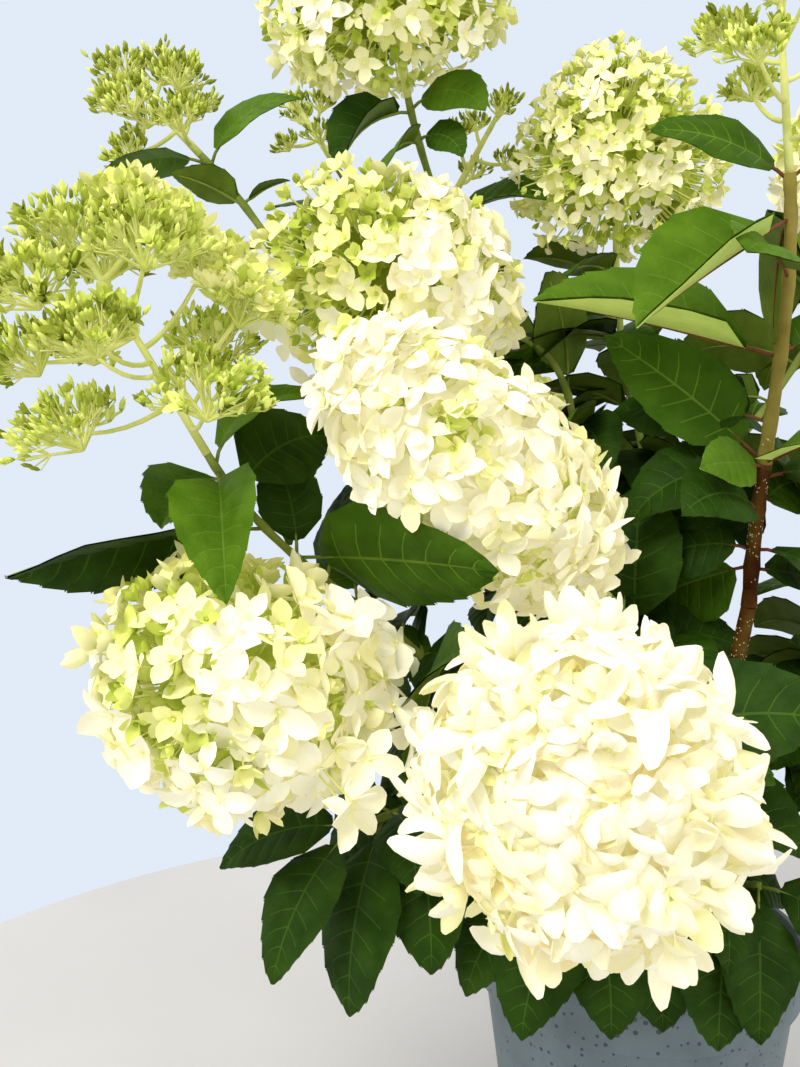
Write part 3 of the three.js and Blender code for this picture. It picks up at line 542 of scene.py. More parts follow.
# %% Wood, twigs, pot, potting mix and floor
LOW_GLOSS = 0.06
finish("bark", [(0.10, 0.052, 0.022), (0.19, 0.115, 0.055), (0.30, 0.21, 0.12)],
       roughness=0.8, grain=90, relief=0.9, relief_grain=350)
finish("speckled_bark", [(0.045, 0.014, 0.003), (0.095, 0.036, 0.006), (0.13, 0.085, 0.014)],
       roughness=0.5, grain=45, relief=0.3, relief_grain=500, gloss=LOW_GLOSS)
finish("lenticel", [(0.66, 0.52, 0.26), (0.80, 0.66, 0.38)], roughness=0.7, grain=300)
finish("tan_twig", [(0.20, 0.165, 0.030), (0.33, 0.265, 0.060)],
       roughness=0.5, grain=50, relief=0.2, relief_grain=500, gloss=LOW_GLOSS)
finish("green_twig", [(0.14, 0.20, 0.028), (0.30, 0.36, 0.080)],
       roughness=0.5, grain=50, relief=0.15, relief_grain=500, gloss=LOW_GLOSS)
finish("pot_plastic", [(0.104, 0.145, 0.165), (0.145, 0.195, 0.220)],
       roughness=0.5, grain=30, relief=0.12, relief_grain=900)
finish("compost", [(0.012, 0.008, 0.005), (0.045, 0.028, 0.016)],
       roughness=0.95, grain=160, relief=0.9, relief_grain=500)
finish("crumb", [(0.07, 0.038, 0.018), (0.15, 0.09, 0.045)],
       roughness=0.9, grain=160, relief=0.6, relief_grain=500)
finish("floor", [(0.66, 0.66, 0.67), (0.70, 0.70, 0.71)],
       roughness=0.8, grain=3, relief=0.02, relief_grain=60)
add_flecks("pot_plastic", (0.035, 0.05, 0.07), scale=130, size=0.36)
print(len(FINISHES), "finishes for wood, pot, mix and floor")

# %% Leaves: dark and light colour, strength of the bump and painted glow. The deep, mid and bright blades and veins are painted shade and painted light
LEAF_COLOURS = {
    # painted shade and painted light: darker copies of the leaf colour for leaves inside the crown, brighter
    # ones for leaves out in the light, and the veins likewise
    "leaf_painted_shade": [(0.014, 0.040, 0.003), (0.028, 0.070, 0.005), 0.5, None],
    "leaf_painted_half_light": [(0.034, 0.088, 0.004), (0.058, 0.130, 0.007), 0.5, None],
    "leaf_painted_light": [(0.062, 0.140, 0.006), (0.100, 0.200, 0.011), 0.5, None],
    "leaf_back": [(0.100, 0.160, 0.016), (0.160, 0.235, 0.030), 0.5, None],
    # painted light: a brighter copy of the underside that glows, as if light came through the leaf
    "leaf_back_painted_glow": [(0.40, 0.54, 0.12), (0.54, 0.66, 0.19), 0.5, (1.2, 1.5, 0.3)],
    "petiole_red": [(0.120, 0.040, 0.018), (0.220, 0.090, 0.040), 0.2, None],
    "vein_painted_shade": [(0.038, 0.088, 0.009), (0.056, 0.118, 0.014), 0.2, None],
    "vein_painted_light": [(0.100, 0.185, 0.015), (0.140, 0.240, 0.028), 0.2, None],
    # painted shade in the depths of a head, where its middle and inner florets take it; on buds it is their
    # own olive colour
    "petal_olive_painted_shade": [(0.22, 0.27, 0.02), (0.36, 0.42, 0.05), 0.5, None],
}
for name, (dark, light, relief, painted_glow) in LEAF_COLOURS.items():
    finish(name, [dark, light], roughness=0.5, grain=45, relief=relief, relief_grain=420, gloss=LOW_GLOSS,
           painted_glow=painted_glow)

# %% Petals and stalks: dark and light colour, and painted glow, an emission that lifts their shade though they are no lamp
PETAL_COLOURS = {
    "pale_stalk": [(0.60, 0.64, 0.16), (0.77, 0.78, 0.30), (0.90, 0.95, 0.22)],
    "petal_green": [(0.40, 0.49, 0.05), (0.54, 0.61, 0.10), (0.46, 0.56, 0.06)],
    "petal_lime": [(0.62, 0.69, 0.14), (0.74, 0.78, 0.24), (0.68, 0.74, 0.16)],
    "petal_cream": [(0.80, 0.80, 0.33), (0.87, 0.86, 0.44), (0.90, 0.86, 0.34)],
    "petal_ivory": [(0.87, 0.85, 0.50), (0.91, 0.89, 0.60), (1.30, 1.20, 0.66)],
    "petal_white": [(0.88, 0.86, 0.66), (0.91, 0.90, 0.75), (1.35, 1.22, 0.80)],
    # painted shade: a deeper peach cream for the inner florets and the middle of the long-petalled head
    "petal_shade": [(0.82, 0.73, 0.42), (0.88, 0.81, 0.52), (1.40, 1.15, 0.56)],
}
for name, (dark, light, painted_glow) in PETAL_COLOURS.items():
    finish(name, [dark, light], roughness=0.62, grain=90, gloss=0.3, painted_glow=painted_glow)
print(len(FINISHES), "finishes")

# %% [markdown]
# ## From arrays to pieces
# A head has over a thousand petals. Each unit shape is modelled once and read into arrays, every copy gets
# its own bend and place by arithmetic, and all copies of a piece become one mesh.

# %% Riding and choosing pieces
def ride(piece, nodes):
    """Lets a piece ride on the body in place of its CAD nodes."""
    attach(piece, "root")
    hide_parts(*nodes)


def select_only(*pieces):
    """Selects some pieces, of which the first is the active one."""
    bpy.ops.object.select_all(action="DESELECT")
    for piece in pieces:
        piece.select_set(True)
    bpy.context.view_layer.objects.active = pieces[0]


def coat(piece, name):
    """Gives a piece one finish."""
    piece.data.materials.clear()
    piece.data.materials.append(FINISHES[name])


# %% Pieces from arrays
class Bundle:
    """Collects patches of mesh, each with its finish, and joins them into one piece."""

    def __init__(self, name, finishes):
        self.name = name
        self.finishes = list(finishes)
        self.corners = []
        self.faces = []
        self.slots = []
        self.count = 0

    def add(self, corners, faces, slots):
        """Adds corners (n, 3) in millimetres, faces (m, 3 or 4) and each face's finish."""
        corners = np.asarray(corners, float).reshape(-1, 3)
        self.corners.append(corners)
        self.faces.append(np.asarray(faces) + self.count)
        self.slots.append(np.broadcast_to(slots, len(faces)).astype(np.int32))
        self.count += len(corners)

    def add_copies(self, corners, faces, slots):
        """Adds copies of one patch: corners (copies, n, 3), slots (copies, m) or (m,)."""
        copies, size = corners.shape[:2]
        shift = (np.arange(copies) * size)[:, None, None]
        slots = np.broadcast_to(slots, (copies, len(faces)))
        self.add(corners, (np.asarray(faces)[None] + shift).reshape(-1, np.shape(faces)[1]), slots.ravel())

    def make(self, nodes):
        """Makes the piece, which rides in place of its CAD nodes, and counts its triangles."""
        mesh = bpy.data.meshes.new(self.name)
        corners = np.concatenate(self.corners) * MM
        mesh.vertices.add(len(corners))
        mesh.vertices.foreach_set("co", corners.astype(np.float32).ravel())
        sizes = np.concatenate([np.full(len(faces), faces.shape[1]) for faces in self.faces])
        loops = np.concatenate([faces.ravel() for faces in self.faces])
        mesh.loops.add(len(loops))
        mesh.loops.foreach_set("vertex_index", loops.astype(np.int32))
        mesh.polygons.add(len(sizes))
        starts = np.concatenate([[0], np.cumsum(sizes)[:-1]])
        mesh.polygons.foreach_set("loop_start", starts.astype(np.int32))
        mesh.polygons.foreach_set("material_index", np.concatenate(self.slots))
        mesh.polygons.foreach_set("use_smooth", np.ones(len(sizes), bool))
        mesh.update(calc_edges=True)
        for name in self.finishes:
            mesh.materials.append(FINISHES[name])
        piece = bpy.data.objects.new(self.name, mesh)
        bpy.context.collection.objects.link(piece)
        ride(piece, nodes)
        return int((sizes - 2).sum())


# %% Tubes and twigs
STEEP = 0.8


def cross_directions(axes):
    """Two directions square to each axis."""
    axes = unit(axes)
    steep = np.abs(axes[..., 2:3]) > STEEP
    aside = np.where(steep, np.array([1.0, 0, 0]), UP)
    first = unit(np.cross(axes, aside))
    return first, np.cross(axes, first)


def tube(points, radii, sides):
    """Corners and faces of a round tube along points, closed at both ends."""
    points = np.asarray(points, float)
    radii = np.broadcast_to(radii, len(points))
    tangents = unit(np.gradient(points, axis=0))
    first, _ = cross_directions(tangents[0])
    rings = []
    turns = np.arange(sides) * 2 * math.pi / sides
    for point, tangent, radius in zip(points, tangents, radii):
        first = unit(first - first.dot(tangent) * tangent)
        rings.append(point + radius * turned(turns, first, np.cross(tangent, first)))
    corners = np.concatenate([*rings, points[:1], points[-1:]])
    faces = []
    for ring in range(len(points) - 1):
        for k in range(sides):
            after = (k + 1) % sides
            faces.append([ring * sides + k, ring * sides + after,
                          (ring + 1) * sides + after, (ring + 1) * sides + k])
    foot, top = len(points) * sides, len(points) * sides + 1
    last = (len(points) - 1) * sides
    caps = []
    for k in range(sides):
        after = (k + 1) % sides
        caps.append([foot, after, k])
        caps.append([top, last + k, last + after])
    return corners, np.array(faces), np.array(caps)


def add_tube(bundle, points, radii, sides, slot):
    """Adds a round tube with both ends closed."""
    corners, sides_faces, caps = tube(points, radii, sides)
    start = bundle.count
    bundle.add(corners, sides_faces, slot)
    bundle.faces.append(caps + start)
    bundle.slots.append(np.full(len(caps), slot, np.int32))


# %% Thin twigs
def add_twigs(bundle, starts, ends, start_radius, end_radius, slot, sides=3):
    """Adds many straight thin twigs between pairs of points."""
    starts, ends = np.asarray(starts, float), np.asarray(ends, float)
    first, second = cross_directions(ends - starts)
    ring = turned(np.arange(sides) * 2 * math.pi / sides, first[:, None], second[:, None])
    rings = [starts[:, None] + start_radius * ring, ends[:, None] + end_radius * ring]
    corners = np.concatenate(rings, axis=1)
    faces = [[k, (k + 1) % sides, sides + (k + 1) % sides, sides + k] for k in range(sides)]
    bundle.add_copies(corners, faces, slot)


# %% [markdown]
# ## Unit shapes
# The petal, the leaf blade and the bud are each modelled once: a grid or a small sphere is added, given
# its size and read into arrays. A flat grid keeps its rows and columns, so each copy can be bent by rule.

# %% Unit shapes
def unit_shape(shaped):
    """Reads an object's corners and faces into arrays, and removes it."""
    mesh = shaped.data
    corners = np.array([v.co for v in mesh.vertices])
    faces = np.array([list(p.vertices) for p in mesh.polygons])
    bpy.data.objects.remove(shaped)
    bpy.data.meshes.remove(mesh)
    return corners, faces


def unit_grid(columns, rows):
    """A flat grid: corners run from 0 to columns across and from 0 to rows along."""
    bpy.ops.mesh.primitive_grid_add(x_subdivisions=columns, y_subdivisions=rows, size=2)
    corners, faces = unit_shape(bpy.context.object)
    place = np.rint((corners[:, :2] + 1) / 2 * [columns, rows]).astype(int)
    return place[:, 0], place[:, 1], faces


def unit_bead(length):
    """A small faceted bud that stands on its foot, one unit across."""
    bpy.ops.mesh.primitive_ico_sphere_add(subdivisions=1, radius=0.5)
    bpy.ops.transform.resize(value=(1, 1, length))
    bpy.ops.object.transform_apply(scale=True)
    bpy.ops.transform.translate(value=(0, 0, length / 2))
    bpy.ops.object.transform_apply(location=True)
    return unit_shape(bpy.context.object)


BEAD_LENGTH = 1.25
BEAD_CORNERS, BEAD_FACES = unit_bead(BEAD_LENGTH)
GRAIN_CORNERS = BEAD_CORNERS - BEAD_CORNERS.mean(axis=0)
print(len(BEAD_FACES), "faces on a bud")


def add_beads(bundle, feet, axes, widths, slots, stretch=1):
    """Adds a bud or floret eye at each foot, along its axis."""
    first, second = cross_directions(axes)
    basis = np.stack([first, second, stretch * unit(axes)], axis=1)
    shapes = widths[:, None, None] * np.einsum("vk,nkx->nvx", BEAD_CORNERS, basis)
    bundle.add_copies(feet[:, None] + shapes, BEAD_FACES, slots[:, None])


# %% [markdown]
# ## Wood
# Old hydrangea wood is thin-barked and flakes in long strips, and younger stems carry small pale
# lenticels. A bough is modelled as by hand with a Bezier curve that has the rule's own four control
# points, a round bevel and a radius at each end. It becomes a mesh, and a Displace modifier with a cloud
# texture presses the bark's relief into it.

# %% Bark relief
FLAKE_SIZE, FLAKE_DEPTH = 0.006, 3
BARK_LEVEL = 0.6


def clouds(name, size, depth):
    """A cloud texture with clouds of a size in metres."""
    texture = bpy.data.textures.new(name, "CLOUDS")
    texture.noise_scale = size
    texture.noise_depth = depth
    return texture


BARK_CLOUDS = clouds("bark_clouds", FLAKE_SIZE, FLAKE_DEPTH)


def press_bark(piece, relief):
    """Presses the flakes of bark into a piece, by a relief in millimetres."""
    press(piece, "DISPLACE", texture=BARK_CLOUDS, texture_coords="LOCAL", strength=relief * MM,
          mid_level=BARK_LEVEL)


# %% One limb
BARK_STEPS, BARK_SIDES = 110, 6


def straight(start, towards, length):
    """A straight limb line."""
    return np.array([start + towards * length * share for share in (0, 1 / 3, 2 / 3, 1)])


def wooden_limb(name, line, radii, bark, relief):
    """Models one limb as a bevelled Bezier curve, then as a mesh with bark relief."""
    bpy.ops.curve.primitive_bezier_curve_add()
    limb = bpy.context.object
    limb.name = name
    curve = limb.data
    curve.resolution_u = BARK_STEPS
    curve.bevel_depth = MM
    curve.bevel_resolution = BARK_SIDES
    curve.use_fill_caps = True
    first, last = curve.splines[0].bezier_points
    for point, radius in ((first, radii[0]), (last, radii[1])):
        point.handle_left_type = point.handle_right_type = "FREE"
        point.radius = radius
    first.co, first.handle_right = line[0] * MM, line[1] * MM
    last.handle_left, last.co = line[2] * MM, line[3] * MM
    first.handle_left = first.co
    last.handle_right = last.co
    bpy.ops.object.convert(target="MESH")
    limb = bpy.context.object
    press_bark(limb, relief)
    bpy.ops.object.shade_smooth()
    coat(limb, bark)
    return limb


# %% Joining and placing pieces
def join(pieces, name):
    """Joins pieces into one object."""
    select_only(*pieces)
    bpy.ops.object.join()
    joined = bpy.context.object
    joined.name = name
    return joined


def dress(piece, node):
    """Sets a modelled piece in the frame, in place of its CAD node."""
    select_only(piece)
    bpy.ops.object.transform_apply(location=True, rotation=True, scale=True)
    ride(piece, [node])
    bpy.ops.object.select_all(action="DESELECT")


# %% Boughs
BARK_RELIEF, SMOOTH_RELIEF = 1.3, 0.45
BARK_OF = {"bough_speckled": "speckled_bark"}
STUB_SWELLING = 1.15
CAP_GAP = 0.3


def shoot_radii(shoot):
    """The radii of a shoot at its foot and at its end."""
    return STOUT_RADII if shoot["bough"] == "bough_speckled" else SHOOT_RADII


for name, bough in BOUGHS.items():
    bark = BARK_OF.get(name, "bark")
    relief = SMOOTH_RELIEF if name in BARK_OF else BARK_RELIEF
    pieces = [wooden_limb(name, bough_line(bough), bough["radii"], bark, relief)]
    fork = np.array(bough["fork"], float)
    for shoot in [each for each in SHOOTS + SKIRTS if each["bough"] == name]:
        stub = straight(fork, unit(shoot["start"]), FORK_REACH)
        radius = shoot_radii(shoot)[0]
        pieces.append(wooden_limb("stub", stub, (radius * STUB_SWELLING, radius), bark, SMOOTH_RELIEF))
    dress(join(pieces, "wood_" + name), name)
print(len(BOUGHS), "boughs dressed")

# %% Stool
STOOL_VOXEL = 1.6
STOOL_RELIEF = 2
CONE_SIDES, CONE_TOP_SHARE, CONE_HEIGHT_SHARE = 32, 0.5, 0.7
SOFTENING = 6
COLLAR_SWELLING = 1.5

cone_height = CONE_HEIGHT_SHARE * STOOL_HEIGHT
bpy.ops.mesh.primitive_cone_add(vertices=CONE_SIDES, radius1=STOOL_FOOT_RADIUS * MM,
                                radius2=CONE_TOP_SHARE * STOOL_FOOT_RADIUS * MM, depth=cone_height * MM,
                                location=(0, 0, (MIX_TOP + cone_height / 2 + CAP_GAP) * MM))
stool_parts = [bpy.context.object]
for bough in BOUGHS.values():
    line = straight(STOOL_HEART, leaving_of(bough), COLLAR_REACH - CAP_GAP)
    radius = bough["radii"][0]
    stool_parts.append(wooden_limb("collar", line, (radius * COLLAR_SWELLING, radius), "bark", SMOOTH_RELIEF))
stool = join(stool_parts, "wood_stool")
press(stool, "REMESH", mode="VOXEL", voxel_size=STOOL_VOXEL * MM)
press(stool, "SMOOTH", iterations=SOFTENING)
press_bark(stool, STOOL_RELIEF)
bpy.ops.object.shade_smooth()
coat(stool, "bark")
dress(stool, "stool")
print("stool with", len(stool.data.polygons), "faces")

# %% [markdown]
# ## Young shoots
# This year's shoots are round and smooth, with a slight swelling where each pair of leaves sits. The
# stoutest one is brown and dotted with pale lenticels up to where this year's green wood begins.

# %% The stem of a shoot
SHOOT_SIDES = 10
SHOOT_STEPS = 36
NODE_SWELLING = 0.2
NODE_LENGTH = 0.022


def leaf_shares(shoot):
    """Shares of the shoot's length at which its leaves sit."""
    return sorted({leaf[0] for leaf in shoot["leaves"]} | {pair[0] for pair in shoot["pairs"]})


def add_shoot(bundle, shoot, start, end, slot):
    """Adds the stem of a shoot between two shares of its length."""
    shares = np.linspace(start, end, int(SHOOT_STEPS * (end - start)) + 1)
    swelling = [np.exp(-((shares - share) / NODE_LENGTH) ** 2) for share in leaf_shares(shoot)]
    radii = lerp(*np.array(shoot_radii(shoot), float), shares)
    radii = radii * (1 + NODE_SWELLING * np.max(swelling, axis=0))
    add_tube(bundle, along(shoot_line(shoot), shares), radii, SHOOT_SIDES, slot)


# %% Lenticels
LENTICEL_TOP = 640
LENTICEL_SIZE = np.array([0.5, 1.3, 0.8])
LENTICEL_SPREAD = (0.6, 1.3)
LENTICEL_SHARES = (0.02, 0.98)
LINE_PROBE = 0.01


def add_grains(bundle, places, axes, sizes, slot):
    """Adds small closed grains: axes (n, 3, 3) are their own directions, sizes (n, 3) along them."""
    corners = places[:, None] + np.einsum("vk,nk,nkx->nvx", GRAIN_CORNERS, sizes, axes)
    bundle.add_copies(corners, BEAD_FACES, slot)


def add_lenticels(bundle, line, radii, count, slot):
    """Scatters pale raised dots over a stem, longer along it than across."""
    rng = np.random.default_rng(count)
    shares = rng.uniform(*LENTICEL_SHARES, count)
    points = along(line, shares)
    lines = unit(along(line, shares + LINE_PROBE) - along(line, shares - LINE_PROBE))
    outward = turned(rng.uniform(0, 2 * math.pi, count), *cross_directions(lines))
    places = points + lerp(*radii, shares)[:, None] * outward
    sizes = LENTICEL_SIZE * rng.uniform(*LENTICEL_SPREAD, (count, 1))
    axes = np.stack([outward, lines, np.cross(outward, lines)], axis=1)
    low = points[:, 2] < LENTICEL_TOP
    add_grains(bundle, places[low], axes[low], sizes[low], slot)


# %% Shoots
BROWN_SHARE = 0.32
SHOOT_LENTICELS, BOUGH_LENTICELS = 620, 420
twig_triangles = 0
for shoot in SHOOTS + SKIRTS:
    stout = shoot["bough"] == "bough_speckled"
    finishes = ["tan_twig", "speckled_bark", "lenticel"] if stout else ["green_twig"]
    bundle = Bundle("twig_" + shoot["name"], finishes)
    add_shoot(bundle, shoot, BROWN_SHARE if stout else 0, 1, 0)
    if stout:
        add_shoot(bundle, shoot, 0, BROWN_SHARE, 1)
        add_lenticels(bundle, shoot_line(shoot), STOUT_RADII, SHOOT_LENTICELS, 2)
    twig_triangles += bundle.make(["leaves_" + shoot["name"]])
speckles = Bundle("lenticels_bough_speckled", ["lenticel"])
stout_bough = BOUGHS["bough_speckled"]
add_lenticels(speckles, bough_line(stout_bough), stout_bough["radii"], BOUGH_LENTICELS, 0)
speckles.make(["bough_speckled"])
print("shoots:", twig_triangles, "triangles")

# %% [markdown]
# ## Leaves
# A hydrangea leaf is a pointed oval with a toothed edge. Its side veins leave the midrib at a slant, arch
# towards the tip and sink into the blade, which puffs up between them. The blade is a flat grid whose
# rows follow the side veins. Each copy is bent along its own midrib by the source's rule, and a plain
# paler sheet closes it underneath.

# %% The leaf blade
VEINS = 8
VEIN_HALF = 0.04
BLADE_COLUMNS = np.array([-1, -0.68, -0.35, -0.028, 0.028, 0.35, 0.68, 1])
VEIN_ROWS = np.array([VEIN_HALF, 0.36, 0.66, 1 - VEIN_HALF])
BLADE_ROWS = np.concatenate([[0], *(VEIN_ROWS + vein for vein in range(VEINS)), [VEINS]])
BACK_COLUMNS = np.array([-1, -0.5, 0, 0.5, 1])
BACK_ROWS = np.arange(VEINS + 1.0)
MIDRIB_HALF, EDGE_FOOT = 0.1, 0.9
NEARLY_NOTHING = 1e-6


def blade_grid(columns, rows):
    """A leaf blade as a flat grid: place across, vein number along, and faces."""
    column, row, faces = unit_grid(len(columns) - 1, len(rows) - 1)
    return columns[column], rows[row], row, faces


FRONT_ACROSS, FRONT_VEIN, FRONT_ROW, FRONT_FACES = blade_grid(BLADE_COLUMNS, BLADE_ROWS)
BACK_ACROSS, BACK_VEIN, _, BACK_FACES = blade_grid(BACK_COLUMNS, BACK_ROWS)
farthest = np.abs(FRONT_ACROSS[FRONT_FACES]).max(axis=1)
vein_middle = FRONT_VEIN[FRONT_FACES].mean(axis=1)
on_vein = np.abs(vein_middle - np.rint(vein_middle)) < NEARLY_NOTHING
on_vein &= vein_middle < VEINS - 0.5
FRONT_IS_VEIN = (farthest < MIDRIB_HALF) | (on_vein & (farthest < EDGE_FOOT))
print(len(FRONT_FACES), "faces on a blade,", int(FRONT_IS_VEIN.sum()), "of them veins")

# %% How a blade bends
LEAF_WIDTH = 0.54
PETIOLE_SHARE = 0.14
FOOT_ROUNDNESS, TIP_ROUNDNESS, BLADE_PEAK = 0.6, 0.95, 0.355
VEIN_NARROWING = 0.75
SWEEP, SWEEP_CURVE = 0.62, 1.15
TOOTH, TOOTH_LEAN = 0.016, 0.012
PUFF, PUFF_FOOT = 0.017, 1.1
WAVE_TURNS = 13
TIP_SHARE = 0.996


def blade_share(u):
    """Half width of a blade as a share of its widest, from its foot (0) to its tip (1)."""
    return u**FOOT_ROUNDNESS * (1 - u) ** TIP_ROUNDNESS / BLADE_PEAK


def midrib(leaf, t):
    """Points, side and normal directions along a leaf's midrib."""
    pitch = leaf["rise"] - leaf["droop"] * t
    out = leaf["length"] * (math.sin(leaf["rise"]) - np.sin(pitch)) / leaf["droop"]
    up = leaf["length"] * (np.cos(pitch) - math.cos(leaf["rise"])) / leaf["droop"]
    flat = direction(leaf["heading"], 0.0)
    points = leaf["root"] + out[:, None] * flat + up[:, None] * UP
    tangent = np.cos(pitch)[:, None] * flat + np.sin(pitch)[:, None] * UP
    level = np.array([-flat[1], flat[0], 0])
    side = math.cos(leaf["roll"]) * level + math.sin(leaf["roll"]) * np.cross(tangent, level)
    return points, side, np.cross(tangent, side)


def blade_half(leaf, u):
    """Half width of a leaf's blade in millimetres."""
    return 0.5 * LEAF_WIDTH * leaf["width"] * leaf["length"] * blade_share(u)


def blade_corners(leaf, across, vein, row, thickness):
    """Bends a flat blade along its leaf's midrib."""
    away = np.abs(across)
    whole = np.rint(vein)
    at_foot = (whole + (vein - whole) * (1 - VEIN_NARROWING * away)) / VEINS
    u = at_foot + SWEEP * at_foot * (1 - at_foot) * away**SWEEP_CURVE
    u = np.clip(u, 0, TIP_SHARE)
    half = blade_half(leaf, u)
    toothed = (away == 1) & (row % 2 == 1)
    half = half + np.where(toothed, TOOTH * leaf["length"] * np.sqrt(np.clip(1 - u, 0, 1)), 0)
    u = np.where(toothed, np.minimum(u + TOOTH_LEAN, TIP_SHARE), u)
    points, side, normal = midrib(leaf, PETIOLE_SHARE + (1 - PETIOLE_SHARE) * u)
    between = np.abs(np.sin(math.pi * vein))
    puff = PUFF * leaf["length"] * between * np.clip(PUFF_FOOT - away, 0, 1) * (away > MIDRIB_HALF)
    arch = half * (leaf["fold"] * away - leaf["arch"] * across**2)
    turn = WAVE_TURNS * u + leaf["phase"] + np.sign(across)
    wave = leaf["wave"] * leaf["length"] * across**2 * np.sin(turn)
    lift = arch + wave + (puff if thickness == 0 else -thickness * leaf["length"])
    return points + (across * half)[:, None] * side + lift[:, None] * normal


# %% Leaves that the photograph shows closely: their fold, width and tint, where the tint is painted light or shade
SEEN_LEAVES = {
    ("front_low", 1): {"tint": "deep"},
    ("right_buds", 16): {"tint": "deep"},
    ("right_buds", 8): {"fold": 1.04, "width": 0.88, "tint": "lit"},
    ("right_buds", 6): {"fold": 0.64, "tint": "lit"},
    ("right_buds", 4): {"fold": 0.34, "width": 0.84, "tint": "mid"},
    ("right_buds", 1): {"fold": 0.2, "width": 0.88, "tint": "lit"},
    ("right_buds", 2): {"fold": 0.5, "tint": "lit"},
    ("right_buds", 3): {"fold": 1.0, "width": 0.94, "tint": "deep"},
    ("right_buds", 0): {"fold": 0.5, "width": 1.06, "tint": "mid"},
    ("right_buds", 5): {"tint": "deep"},
    ("right_buds", 9): {"tint": "mid"},
    ("right_buds", 10): {"tint": "mid"},
    ("left_buds", 0): {"fold": 1.15, "width": 0.82, "tint": "bright"},
    ("left_buds", 1): {"tint": "bright"},
    ("left_buds", 2): {"fold": 1.3, "width": 0.75, "tint": "lit"},
    ("left_buds", 3): {"fold": 0.6, "width": 0.86, "tint": "deep"},
    ("left_buds", 4): {"fold": 0.12, "width": 0.88, "tint": "mid"},
    ("left_buds", 6): {"tint": "deep"},
    ("left_buds", 7): {"tint": "deep"},
    ("left_buds", 8): {"tint": "deep"},
    ("left_high", 0): {"fold": 0.32, "width": 1.05, "tint": "bright"},
    ("left_high", 1): {"fold": 0.12, "tint": "bright"},
    ("upper", 0): {"tint": "deep"},
    ("top", 0): {"fold": 1.08, "width": 0.8, "tint": "deep"},
}
print(len(SEEN_LEAVES), "leaves of their own fold, width or tint")

# %% A leaf from its root to its tip
PLAIN_LEAF = {"fold": 0, "width": 1, "tint": None}


def leaf_to(root, tip, droop, roll):
    """A leaf from its root to a tip: the chord of its arc sets heading, rise and length."""
    chord = np.array(tip, float) - root
    reach = np.linalg.norm(chord)
    half = math.radians(droop) / 2
    return {**PLAIN_LEAF, "root": root, "heading": math.atan2(chord[1], chord[0]), "droop": 2 * half,
            "rise": math.asin(chord[2] / reach) + half, "length": reach * half / math.sin(half), "roll": roll}


# %% Leaves that miss the flower heads
STEER_TRIES = 5
STEER_DROOP = 18
STEER_LENGTH = 0.93
STEER_SAMPLES = np.array([0.4, 0.6, 0.8, 1])
HEAD_MARGIN = 12


def is_free(leaf):
    """Tells whether a leaf stays out of every flower head."""
    points, _, _ = midrib(leaf, STEER_SAMPLES)
    for shoot in SHOOTS:
        head = head_frame(shoot)
        half = head["length"] / 2
        away = points - (head["foot"] + half * head["axis"])
        distance = away @ head["axis"]
        off = np.linalg.norm(away - distance[:, None] * head["axis"], axis=1)
        radius = shoot["head"]["radius"] + HEAD_MARGIN
        if np.any(np.hypot(distance / (half + HEAD_MARGIN), off / radius) < 1):
            return False
    return True


def steered(leaf):
    """Bends and shortens a leaf until it misses the heads, or gives it up."""
    for _ in range(STEER_TRIES):
        if is_free(leaf):
            return leaf
        leaf = {**leaf, "droop": leaf["droop"] + math.radians(STEER_DROOP),
                "length": STEER_LENGTH * leaf["length"]}
    return None


# %% Leaves that lean towards the light
LEAN_SAMPLE = 0.6
LEAN_OUT = 1.6
LEAN = 0.85
LEAN_MOST = 1.2


def leaning(leaf):
    """Rolls a leaf so that its face leans out of the shrub, towards the light."""
    point, side, normal = (each[0] for each in midrib({**leaf, "roll": 0}, np.array([LEAN_SAMPLE])))
    outward = unit(point * [1, 1, 0])
    light = LEAN_OUT * outward + UP
    best = math.atan2(-light.dot(side), light.dot(normal))
    return {**leaf, "roll": leaf["roll"] + LEAN * min(max(best, -LEAN_MOST), LEAN_MOST)}


# %% Leaves of a shoot, placed one by one or in pairs
PLACED_ROLL = 8
PAIR_TURN = 7
PAIR_RISE = 34
PAIR_RISE_SPREAD = 7
PAIR_ROLL = 12
PAIR_LENGTH = (0.92, 1.06)


def leaves_of(shoot):
    """The leaves of a shoot, as the source's rule places them."""
    line = shoot_line(shoot)
    roll = dice(3 * shoot["foot"][2] + 17)

    def either(spread):
        return lerp(-spread, spread, next(roll))

    leaves = []
    for number, (share, tip, droop, *facing) in enumerate(shoot["leaves"]):
        leaf = leaf_to(along(line, [share])[0], tip, droop, math.radians(either(PLACED_ROLL)))
        leaf = {**leaf, "roll": math.radians(facing[0])} if facing else leaning(leaf)
        leaves.append({**leaf, **SEEN_LEAVES.get((shoot["name"], number), {})})
    for share, way, length, droop in shoot["pairs"]:
        for side in (way, way + 180):
            leaf = steered({**PLAIN_LEAF, "root": along(line, [share])[0],
                            "heading": math.radians(side + either(PAIR_TURN)),
                            "length": length * lerp(*PAIR_LENGTH, next(roll)),
                            "droop": math.radians(droop),
                            "rise": math.radians(PAIR_RISE + either(PAIR_RISE_SPREAD)),
                            "roll": math.radians(either(PAIR_ROLL))})
            if leaf:
                leaves.append({**leaning(leaf), **SEEN_LEAVES.get((shoot["name"], len(leaves)), {})})
    return leaves


print(sum(len(leaves_of(shoot)) for shoot in SHOOTS + SKIRTS), "leaves on the shoots")

# %% Leaves of side shoots
LEAFY_BOUGHS = set(BOUGHS) - {"bough_back_left"}
SIDE_SHARES = (0.1, 0.28, 0.48, 0.7)
BARE_ABOVE = {"right_buds": 0.4, "left_buds": 0.6}
SIDE_LENGTHS = (84, 108)
SIDE_DROOPS, SIDE_RISES = (60, 105), (5, 35)
SIDE_SPREAD, SIDE_SEED = 0.2, 2000


